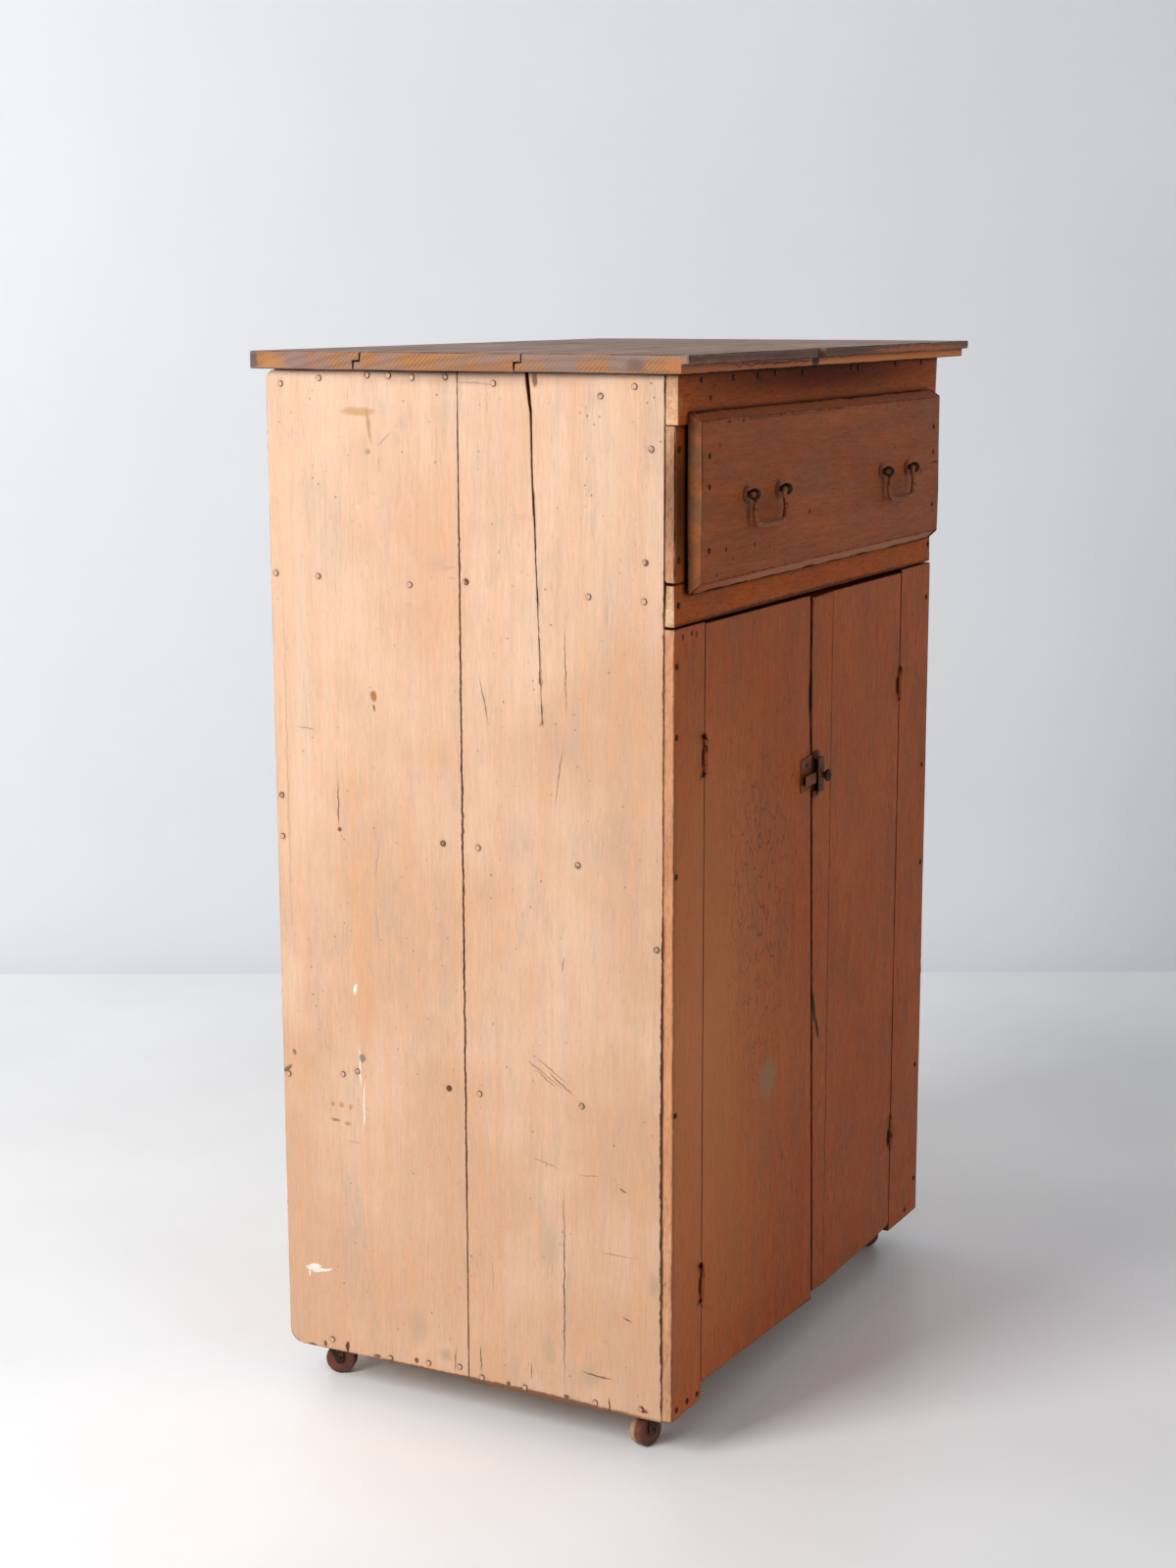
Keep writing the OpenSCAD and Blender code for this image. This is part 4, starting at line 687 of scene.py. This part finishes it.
# Dirt by the doors' meeting line, gouges and short cracks, painted light and shade, and the hinges' gaps
# painted dark as shade
FRONT_MARKS = front_marks(FACE, (
    (-172, 398, 40, 35, 0, "#7E7757", 0.75, 0.8), (-25, 452, 6, 30, -14, "#22140C", 0.95, 0.4),
    (-12, 420, 5, 18, -20, "#22140C", 0.9, 0.4), (-214, 657, 1.6, 10, 0, "#2A170E", 0.85, 0.4),
    (-222, 622, 1.4, 9, 0, "#2A170E", 0.85, 0.4), (-199, 530, 1.6, 12, 4, "#2A170E", 0.85, 0.4),
    (-122, 281, 1.6, 10, 0, "#2A170E", 0.8, 0.4), (-147, 275, 1.4, 8, 0, "#2A170E", 0.8, 0.4),
    (-45, 770, 34, 34, 0, "#4A2A18", 0.5, 0.9), (-422, 979, 4, 5, 0, "#2A170D", 0.9, 0.5),
    (-399, 981, 5, 4, 0, "#2A170D", 0.9, 0.5), (-386, 979, 4, 5, 0, "#2A170D", 0.85, 0.5),
    # The broad soft orange blot on this line is painted light, lighter on the left of the front
    (-440, 520, 2.2, 470, 0, "#3E2214", 0.75, 0.5), (-380, 500, 370, 620, 0, "#D08450", 0.52, 1),
    # Painted shade: dark on the stile beside the drawer, and near-black in the doors' gap high up
    (-432, 1130, 26, 120, 0, "#3A1E10", 0.8, 0.9), (-49.5, 864, 8.5, 40, 0, "#120A06", 0.95, 0.4),
    (-50.5, 940, 4.5, 70, 0, "#1A0E08", 0.9, 0.5),
    # Painted shade in the hinges' gaps, at the ends of their barrels and beside them
    *[(x, height + rise, reach, tall, 0, "#0E0705", 0.95, 0.4) for height in (196, 837)
      for x, rise, reach, tall in ((-368.5, -2, 3.2, 14), (256, -4, 7.4, 16), (-364, 20, 7, 1.2),
                                   (-364, -20, 7, 1.4), (270, 0, 1.2, 16))],
))
# Painted shadow under the top's overhang, a long dark line lower down, and a spot and chips on the rails
RAIL_MARKS = front_marks(FACE - 0.004, (
    (-35, 1262, 600, 42, 0, "#4A1602", 0.92, 0.9), (-361, 1242, 4, 4, 0, "#22120A", 0.85, 0.5),
    (-35, 994, 600, 4, 0, "#3A1F12", 0.7, 0.6), (-438, 1238, 6, 14, 0, "#B07A4A", 0.6, 0.8),
))
# Spots, nail holes and rubbed paint on the drawer, dirt round its pulls, painted shadows of the pulls and
# posts, and painted light on its bevels
DRAWER_MARKS = front_marks(-0.279, (
    (-107, 1215.5, 36, 1.4, -2, "#8E6A4C", 0.7, 0.5), (-354, 1072, 3, 4, 0, "#22120A", 0.9, 0.4),
    (-275, 1071, 2.6, 4, 0, "#22120A", 0.9, 0.4), (-112, 1097, 3, 4, 0, "#22120A", 0.9, 0.4),
    (172, 1160, 2.6, 4, 0, "#22120A", 0.9, 0.4), (273, 1123, 2.6, 4, 0, "#22120A", 0.9, 0.4),
    (322, 1131, 22, 1.2, 0, "#1E110A", 0.9, 0.4), (-255, 1118, 66, 20, 0, "#5A3420", 0.35, 0.9),
    # On this line, after the dirt round the right pull: the pale band along the lower bevel, painted light
    (172, 1118, 66, 20, 0, "#5A3420", 0.35, 0.9), (-35, 1032, 420, 8.2, 0, "#B27A58", 0.65, 0.35),
    # Painted shadows beside the pulls' left legs and round each post
    (-293, 1110, 6, 24, 0, "#1E100A", 0.65, 1), (133, 1110, 6, 24, 0, "#1E100A", 0.65, 1),
    *[(x, 1131, 14, 14, 0, "#1E100A", 0.7, 1) for x in (-300.5, -207.5, 125.5, 218.5)],
    (-150, 1215.5, 250, 1, 0, "#3A2012", 0.55, 0.5), (-348, 1215, 4, 3, 0, "#22120A", 0.85, 0.5),
    (-310, 1215, 4, 3, 0, "#22120A", 0.85, 0.5), (-200, 1216.5, 3, 2, 0, "#22120A", 0.8, 0.5),
    (-374, 1190, 3, 3, 0, "#22120A", 0.85, 0.5), (-335, 1060, 3, 3, 0, "#22120A", 0.8, 0.5),
    (-230, 1066, 2.4, 3, 0, "#22120A", 0.8, 0.5), (-378, 1045, 4, 3, 0, "#22120A", 0.8, 0.5),
    # Painted light on the upper bevel
    (-35, 1221.5, 420, 7, 0, "#A85E38", 0.35, 0.5),
))
# Places and reaches along X, Y and Z on the front and left edges of the top boards
TOP_MARKS = [([c / MM for c in centre], [c / MM for c in size], (0, 0, 0), *look) for centre, size, *look in (
    ((0, -279, 1286.5), (700, 6, 8), "#5A3226", 0.75, 0.4),
    ((-260, -271, 1274.5), (300, 7, 8), "#B8642C", 0.95, 0.3),
    ((220, -271, 1274.5), (360, 7, 8.5), "#DE8238", 0.95, 0.3),
    ((260, -279, 1283.5), (220, 6, 6), "#B8622A", 0.85, 0.5),
    ((-200, -271, 1276.5), (200, 7, 1.6), "#2A150C", 0.85, 0.6),
    # A near-black spot where the front lip is notched: painted shade
    ((-77, -276, 1280), (15, 18, 18), "#140A06", 0.95, 0.4),
    ((-455, -262, 1280), (20, 20, 12), "#A9693A", 0.85, 0.7),
    ((-455, -215, 1279), (20, 18, 12), "#4A3A38", 0.6, 0.9),
    ((-455, 290, 1281), (20, 8, 14), "#4A4548", 0.8, 0.6),
    ((-455, 262, 1276), (20, 26, 13), "#A87440", 0.85, 0.8),
    ((-455, -20, 1272), (20, 90, 10), "#8E5C36", 0.7, 0.8),
)]
IRON_TONES = ("#5C3218", "#7A4420", "#8F8078")
# Tones for the sides and the front: warm, grey, deep, bare wood, and last the colour of dirt and painted shade
# in joints. The front's are darker: painted shade, as the front stands in shade.
SIDE_TONES = ("#D39A6E", "#B09A86", "#775C49", "#8C5B38", "#33241B")
FRONT_TONES = ("#C46630", "#80583A", "#4A2010", "#6E3416", "#190D07")


# Studio

def floor_finish():
    """Painted concrete, rolled: faint clouds, half a shine that carries a soft reflection of the cupboard."""
    material, shader, node, place, _ = start_material("studio_floor_paint")
    clouds = node("TexNoise", {"Vector": place, "Scale": 1.6, "Detail": 4.0})
    tint = laid_over(node, linear("#EFEFEF"), [(node("MapRange", [clouds, 0.35, 0.65]), linear("#F7F7F7"))])
    join(material, shader, Base_Color=tint, Roughness=node("MapRange", [clouds, 0.3, 0.7, 0.3, 0.36]))
    return material


def wall_finish():
    """Matt wall paint, seen through from behind so that the wall never hides the cupboard's back."""
    material, shader, node, place, _ = start_material("studio_wall_paint")
    clouds = node("TexNoise", {"Vector": place, "Scale": 1.1, "Detail": 3.0})
    tint = laid_over(node, linear("#E5E7EA"), [(node("MapRange", [clouds, 0.3, 0.7]), linear("#EAECEE"))])
    shader.inputs["Roughness"].default_value = 0.95
    shader.inputs["Specular IOR Level"].default_value = 0.2
    join(material, shader, Base_Color=tint)
    seen = node("MixShader", [node("NewGeometry").outputs["Backfacing"], shader, node("BsdfTransparent")])
    links = material.node_tree.links
    links.new(seen.outputs[0], material.node_tree.nodes["Material Output"].inputs[0])
    return material


def build_sweep(wall_distance):
    """The floor and the wall square to the camera's view, with a round cove between them."""
    ahead = Vector((math.sin(YAW), math.cos(YAW), 0))
    aside = Vector((math.cos(YAW), -math.sin(YAW), 0))
    near, half_width, height, cove = -9.0, 12.0, 6.0, 0.3
    bend = wall_distance - cove
    profile = [(near, 0.0), (bend, 0.0)]
    for i in range(1, 10):
        angle = math.radians(90) * i / 10
        profile.append((bend + cove * math.sin(angle), cove - cove * math.cos(angle)))
    profile += [(wall_distance, cove), (wall_distance, height)]
    places = [Vector((MIDDLE, 0, 0)) + ahead * forth + aside * side * half_width + Vector((0, 0, up))
              for forth, up in profile for side in (-1, 1)]
    faces = [(2 * i, 2 * i + 1, 2 * i + 3, 2 * i + 2) for i in range(len(profile) - 1)]
    sheet = bpy.data.meshes.new("studio_sweep")
    sheet.from_pydata(places, [], faces)
    backdrop = new_object("studio_sweep", sheet)
    sheet.materials.append(floor_finish())
    sheet.materials.append(wall_finish())
    for polygon in sheet.polygons:
        polygon.material_index = 0 if polygon.index == 0 else 1
    select_only(backdrop)
    bpy.ops.object.shade_smooth()


def hang_lamp(name, place, size, power, target):
    """A white lamp with a broad face, turned to its target."""
    data = bpy.data.lights.new(name, "AREA")
    data.shape = "RECTANGLE"
    data.size, data.size_y = size
    data.energy = power
    made = new_object(name, data)
    made.location = place
    made.rotation_euler = (Vector(target) - Vector(place)).to_track_quat("-Z", "Y").to_euler()


def stand_camera():
    """The camera that sees the cupboard as the photo does."""
    wide, tall = FRAME_SIZE
    camera = bpy.data.cameras.new("portrait_camera")
    camera.sensor_width = SENSOR
    camera.lens = FOCAL * SENSOR / tall
    camera.shift_x = -(CENTRE[0] - wide / 2) / tall
    camera.shift_y = (CENTRE[1] - tall / 2) / tall
    camera.clip_end = 60
    made = new_object("portrait_camera", camera)
    forward = Vector((math.sin(YAW) * math.cos(PITCH), math.cos(YAW) * math.cos(PITCH), -math.sin(PITCH)))
    right = Vector((math.cos(YAW), -math.sin(YAW), 0))
    up = right.cross(forward)
    tilted_right = right * math.cos(ROLL) + up * math.sin(ROLL)
    tilted_up = up * math.cos(ROLL) - right * math.sin(ROLL)
    turn = Matrix((tilted_right, tilted_up, -forward)).transposed()
    made.matrix_world = Matrix.Translation(CAMERA_PLACE) @ turn.to_4x4()
    bpy.context.scene.camera = made


# Operators

class StageOperator(bpy.types.Operator):
    """Build the pale floor and wall, the soft lights and the camera"""
    bl_idname = "cupboard.stage"
    bl_label = "Stage"

    def execute(self, context):
        settings = context.scene.cupboard_stage
        build_sweep(settings.wall_distance)
        hang_lamp("key", (-3.2, 1.3, 2.4), (1.6, 2.4), settings.key, (-0.3, 0.0, 0.7))
        hang_lamp("fill", (-1.9, -3.3, 1.6), (2.4, 2.0), settings.fill, (0.0, 0.0, 0.5))
        hang_lamp("wall_wash", (-0.7, 2.6, 1.9), (1.2, 1.6), settings.wash, (1.1, 2.3, 1.3))
        world = bpy.data.worlds.new("studio_air")
        context.scene.world = world
        world.use_nodes = True
        air = world.node_tree.nodes["Background"].inputs
        air["Color"].default_value = linear("#F2F4F8")
        air["Strength"].default_value = settings.air
        stand_camera()
        context.scene.view_settings.view_transform = "Standard"
        context.scene.view_settings.look = "None"
        return {"FINISHED"}


class SidesOperator(bpy.types.Operator):
    """Weather and paint the four boards of the sides"""
    bl_idname = "cupboard.sides"
    bl_label = "Sides"

    def execute(self, context):
        paint, wear = context.scene.cupboard_paint, context.scene.cupboard_wear
        tones = (paint.side, paint.side_upper_painted_light, *SIDE_TONES)
        # Marks along the seam or across it belong to both boards of a side, the others to one of them
        shared = [mark for mark in SIDE_MARKS if mark[1][1] > 0.25 or abs(mark[0][1] - SEAM) < 0.001]
        single = [mark for mark in SIDE_MARKS if mark not in shared]
        # The right side isn't seen: it gets the shared marks, and a third of the others turned upside down
        middle_height = 0.66
        across = [((RIGHT, mark[0][1], mark[0][2]), *mark[1:]) for mark in shared]
        turned_over = [((RIGHT, mark[0][1], 2 * middle_height - mark[0][2]), *mark[1:])
                       for mark in single[::3]]
        own_marks = {}
        for side, common, others in (("left", shared, single), ("right", across, turned_over)):
            own_marks[side + "_side_front_board"] = common + [mark for mark in others if mark[0][1] < SEAM]
            own_marks[side + "_side_rear_board"] = common + [mark for mark in others if mark[0][1] >= SEAM]
        for i, (node, marks) in enumerate(own_marks.items()):
            peach = oil_paint("brushed_oil_paint_" + node, "Z", tones, banding=0.35, thinness=0.55,
                              crackle=0.1, scuffs=0.35, mottling=0.16, inner="X", marks=marks, shine=0.3)
            dress_board(node, "Z", peach, wear, i * NEXT_SEED)
        return {"FINISHED"}


class FrontOperator(bpy.types.Operator):
    """Weather and paint the stiles and rails, the doors and the drawer's front"""
    bl_idname = "cupboard.front"
    bl_label = "Front"

    def execute(self, context):
        paint, wear = context.scene.cupboard_paint, context.scene.cupboard_wear
        # The front's paint and tones are darkened as painted shade, and paler high up as painted light
        tones = (paint.front, paint.front_upper_painted_light, *FRONT_TONES)
        worn = dict(banding=0.4, thinness=0.4, scuffs=0.5, mottling=0.75, inner="Y")
        # Painted shade on the edge faces between the doors, front paint at the left door's hinges, cream like
        # the sides outside
        edges = ((0.0, "#2A150C"), (0.31, "#8E4A26"), (0.40, "#D6AB87"))
        upright = oil_paint("brushed_oil_paint_front", "Z", tones, crackle=0.6, marks=FRONT_MARKS, shine=0.12,
                            side_codes=edges, crazed=((-0.21, FACE, 0.60), (0.14, 0.05, 0.34)), **worn)
        level = oil_paint("brushed_oil_paint_rails", "X", tones, crackle=0.2, marks=RAIL_MARKS, shine=0.03,
                          side_codes=((0.0, "#DDB48E"),), **worn)
        # The drawer's paint darker still: painted shade under the top's overhang
        drawer_painted_shade_tones = ("#A04D1E", "#A65526", *FRONT_TONES)
        drawer = oil_paint("brushed_oil_paint_drawer", "X", drawer_painted_shade_tones, crackle=0.2, marks=DRAWER_MARKS,
                           shine=0.12, side_codes=((0.0, "#74492A"),), **worn)
        # The upright boards, each with the X end that lies against its neighbour: 0 left, 1 right
        uprights = (("left_upper_stile", None), ("right_upper_stile", None), ("left_lower_stile", 1),
                    ("right_lower_stile", None), ("left_door_board", 0), ("right_door_wide_board", 0),
                    ("right_door_narrow_board", 1))
        for i, (node, end) in enumerate(uprights):
            board = board_copy(node, node + "_worn")
            if node == "left_door_board":
                # Old paint nearly fills the gap at the hinges
                hinge_edge = extent(board, "X")[0] + 0.0001
                move_points(board, lambda at: at.x < hinge_edge, (-0.0012, 0, 0))
            whole = None if end is None else extent(board, "X")[end]
            weather(board, "Z", wear, 10 + i * NEXT_SEED, whole=whole)
            stand_in(board, node, upright)
        for i, node in enumerate(("top_rail", "drawer_rail")):
            dress_board(node, "X", level, wear, 30 + i * NEXT_SEED)
        face = board_copy("drawer_front", "drawer_front_worn")
        # More is planed off the lower edge than off the others
        lower, front = extent(face, "Z")[0] + 0.02, extent(face, "Y")[0] + 0.001
        move_points(face, lambda at: at.y < front and at.z < lower, (0, 0, 0.003))
        weather(face, "X", wear, 33.4)
        stand_in(face, "drawer_front", drawer)
        return {"FINISHED"}


class TopOperator(bpy.types.Operator):
    """Weather and stain the three boards of the top"""
    bl_idname = "cupboard.top"
    bl_label = "Top"

    def execute(self, context):
        paint, wear = context.scene.cupboard_paint, context.scene.cupboard_wear
        # The third tone, the pale lilac-grey of the worn streaks, is wear and painted sheen
        tones = (paint.stain, "#35201A", "#B08872", "#1E120D", "#8A6E62", "#4A2A1B", "#A46E3E")
        stain = pine_board("stained_pine_top", "X", "Y", tones, gloss=0.42, sawn=0.5, wear=0.85,
                           marks=TOP_MARKS, shine=0.22)
        for i, node in enumerate(("top_front_board", "top_middle_board", "top_rear_board")):
            dress_board(node, "X", stain, wear, 40 + i * NEXT_SEED)
        return {"FINISHED"}


class InsideOperator(bpy.types.Operator):
    """Finish the bare boards: back, bottom, shelves, cleats, battens, runners and the drawer's box"""
    bl_idname = "cupboard.inside"
    bl_label = "Back and inside"

    def execute(self, context):
        paint, wear = context.scene.cupboard_paint, context.scene.cupboard_wear
        tones = (paint.bare, "#8A6139", "#8C7458", "#5A3A22", "#A87C50", "#6B4A2E", "#8E7050")
        upright = pine_board("bare_pine_upright", "Z", "X", tones, gloss=0.62)
        crosswise = pine_board("bare_pine_crosswise", "X", "Y", tones, gloss=0.62)
        deepwise = pine_board("bare_pine_deepwise", "Y", "X", tones, gloss=0.62)
        for i in range(1, 5):
            dress_board("back_board_%d" % i, "Z", upright, wear, 50 + i * NEXT_SEED,
                        slices=0.02, planks=0.1)
        self.nail_back_boards(paint)
        finish_nodes(crosswise, "bottom_front_board", "bottom_rear_board", "upper_shelf", "lower_shelf",
                     "left_door_battens", "right_door_battens", "drawer_back", "drawer_bottom")
        finish_nodes(deepwise, "shelf_cleats", "top_cleats", "drawer_runners", "drawer_left_side",
                     "drawer_right_side")
        return {"FINISHED"}

    def nail_back_boards(self, paint):
        """Drives two nails through each back board at the bottom, at both shelves and at the top."""
        iron = old_iron("rusty_nail_iron", (paint.iron, *IRON_TONES), 0.6, grain=0.003)
        head, proud, rounding, from_edge, from_top = 0.0038, 0.0012, 0.0005, 0.028, 0.03
        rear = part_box("back_board_1")[1][1]
        levels = [sum(corner[2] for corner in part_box(node)) / 2
                  for node in ("bottom_rear_board", "lower_shelf", "upper_shelf")]
        levels.append(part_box("back_board_1")[1][2] - from_top)
        select_only(None)
        bpy.ops.mesh.primitive_cylinder_add(vertices=12, radius=head, depth=2 * proud, end_fill_type="TRIFAN",
                                            location=(0, rear, 0), rotation=(math.radians(90), 0, 0))
        first = bpy.context.object
        bpy.ops.object.transform_apply(location=True, rotation=True, scale=True)
        bpy.ops.object.mode_set(mode="EDIT")
        bpy.ops.mesh.select_mode(type="VERT")
        bpy.ops.mesh.select_all(action="SELECT")
        bpy.ops.mesh.bevel(offset=rounding, segments=2, affect="EDGES", clamp_overlap=True)
        bpy.ops.object.mode_set(mode="OBJECT")
        heads = []
        for i in range(1, 5):
            low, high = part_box("back_board_%d" % i)
            for x in (low[0] + from_edge, high[0] - from_edge):
                for j, z in enumerate(levels):
                    copy = new_object("nail", first.data.copy())
                    copy.location = (x + 0.004 * math.sin(7 * x + 3 * j), 0, z + 0.005 * math.sin(11 * x + j))
                    heads.append(copy)
        bpy.data.objects.remove(first)
        select_only(heads[0])
        for copy in heads:
            copy.select_set(True)
        bpy.ops.object.join()
        nails = bpy.context.object
        bpy.ops.object.transform_apply(location=True, rotation=True, scale=True)
        nails.name = nails.data.name = "back_nails"
        bpy.ops.object.shade_smooth_by_angle(angle=SHARP_IRON)
        nails.data.materials.append(iron)
        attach(nails, BODY["back_board_1"])


class NailsOperator(bpy.types.Operator):
    """Dome the nail heads and paint them over with the boards"""
    bl_idname = "cupboard.nails"
    bl_label = "Nails"

    def execute(self, context):
        paint = context.scene.cupboard_paint
        on_sides = painted_iron("painted_nails_side", ("#3E2214", "#8A5A3A", "#C4A088"), 0.75, ring=0.75)
        on_front = painted_iron("painted_nails_front", (paint.iron, IRON_TONES[0], "#5A2E18"), 0.35, ring=0.9)
        for node, finish, coat in (("side_nails", on_sides, 0.0008), ("frame_nails", on_front, 0.0006),
                                   ("drawer_nails", on_front, 0.0003)):
            soften(node, finish, 0.0011, coat)
        return {"FINISHED"}


class HingesOperator(bpy.types.Operator):
    """Round the hinges' leaves and pins and paint them over with the front"""
    bl_idname = "cupboard.hinges"
    bl_label = "Hinges"

    def execute(self, context):
        paint = context.scene.cupboard_paint
        finish = painted_iron("painted_iron_front", (paint.iron, IRON_TONES[0], "#A4562A"), 0.85, rim=0.0006)
        for node in ("hinge_frame_leaves", "hinge_pins", "left_door_hinge_leaves", "right_door_hinge_leaves"):
            soften(node, finish, 0.0003)
        return {"FINISHED"}


class PullsOperator(bpy.types.Operator):
    """Forge the drawer's posts and bent wire pulls"""
    bl_idname = "cupboard.pulls"
    bl_label = "Pulls"

    def execute(self, context):
        paint = context.scene.cupboard_paint
        wire = old_iron("rusty_bent_wire", ("#7A4423", "#A45E2C", "#2E1A11", "#CC955F"), 0.75, grain=0.006)
        cast = old_iron("rusty_wrought_iron", (paint.iron, "#4A2816", *IRON_TONES[1:]), 0.35,
                        painted_behind=(-0.2822, "#7A4020"))
        forge("pull_posts", cast, 0.00045, 0.0003, rust=0.0010)
        for node in ("left_pull_bail", "right_pull_bail"):
            forge(node, wire, 0.0004, 0.0004, rust=0.0013)
        return {"FINISHED"}


class LatchOperator(bpy.types.Operator):
    """Cast the latch's case and knob and bend its keeper plate"""
    bl_idname = "cupboard.latch"
    bl_label = "Latch"

    def execute(self, context):
        paint = context.scene.cupboard_paint
        tones = (paint.iron, *IRON_TONES)
        cast = old_iron("dark_cast_iron_latch", tones, 0.45, grain=0.003)
        rusty = ("#2A1710", "#7A4422", "#9A5A30", "#A87850")
        cover = old_iron("rusty_cast_iron_latch", rusty, 0.6, grain=0.006)
        plated = old_iron("rusty_plated_iron", ("#8A4C26", "#5A2E18", "#A45E30", "#B88058"), 0.3, grain=0.006)
        forge("latch_case", cover, 0.0004, 0.00025)
        forge("latch_knob", cast, 0.0004, 0.0002)
        forge("latch_keeper", plated, 0.0004, 0.00025)
        for node in ("keeper_screw", "latch_screws"):
            soften(node, cast, 0.0003)
        return {"FINISHED"}


class CastersOperator(bpy.types.Operator):
    """Cast the casters' plates and forks and turn their wooden wheels"""
    bl_idname = "cupboard.casters"
    bl_label = "Casters"

    def execute(self, context):
        paint = context.scene.cupboard_paint
        cast = old_iron("dark_cast_iron_casters", (paint.iron, "#4A2A1A", "#6A3C24", "#9A8468"), 0.5)
        varnished = ("#6A3018", "#3A190C", "#7E4426", "#1E0E08", "#6A341C", "#38180C", "#5A2C18")
        wheel = pine_board("turned_wheel_wood", "Y", "X", varnished, gloss=0.45)
        for node in ("caster_plates", "caster_king_pins", "caster_screws"):
            soften(node, cast, 0.0004)
        # The wheel at the front left has lost its varnish on one part
        low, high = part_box("caster_wheel_front_left")
        bare = Vector([(a + b) / 2 for a, b in zip(low, high)]) + Vector((-0.0088, 0.0169, 0.0))
        pale_wheel = pine_board("worn_wheel_wood", "Y", "X", varnished, gloss=0.5,
                                marks=((bare, (0.017, 0.017, 0.03), (0, 0, 0), "#B08A66", 0.95, 0.3),))
        for corner in ("front_left", "front_right", "rear_left", "rear_right"):
            wood = pale_wheel if corner == "front_left" else wheel
            forge("caster_fork_" + corner, cast, 0.0007, 0.0005)
            forge("caster_wheel_" + corner, wood, 0.0008, 0.0006)
        return {"FINISHED"}


class CupboardPanel(bpy.types.Panel):
    """Lists the cupboard's steps and settings"""
    bl_idname = "CUPBOARD_PT_steps"
    bl_label = "Plank Cupboard"
    bl_space_type = "VIEW_3D"
    bl_region_type = "UI"
    bl_category = "Cupboard"

    def draw(self, context):
        for step in STEPS:
            self.layout.operator(step.bl_idname)
        for group in (context.scene.cupboard_paint, context.scene.cupboard_wear, context.scene.cupboard_stage):
            for name in group.__annotations__:
                self.layout.prop(group, name)


STEPS = (StageOperator, SidesOperator, FrontOperator, TopOperator, InsideOperator, NailsOperator,
         HingesOperator, PullsOperator, LatchOperator, CastersOperator)
GROUPS = (CupboardPaint, CupboardWear, CupboardStage)


def register():
    for kind in (*GROUPS, *STEPS, CupboardPanel):
        bpy.utils.register_class(kind)
    bpy.types.Scene.cupboard_paint = bpy.props.PointerProperty(type=CupboardPaint)
    bpy.types.Scene.cupboard_wear = bpy.props.PointerProperty(type=CupboardWear)
    bpy.types.Scene.cupboard_stage = bpy.props.PointerProperty(type=CupboardStage)


def unregister():
    for name in ("cupboard_stage", "cupboard_wear", "cupboard_paint"):
        delattr(bpy.types.Scene, name)
    for kind in reversed((*GROUPS, *STEPS, CupboardPanel)):
        bpy.utils.unregister_class(kind)


def main():
    register()
    for step in STEPS:
        group, name = step.bl_idname.split(".")
        getattr(getattr(bpy.ops, group), name)()
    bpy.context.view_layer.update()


if __name__ == "__main__":
    main()
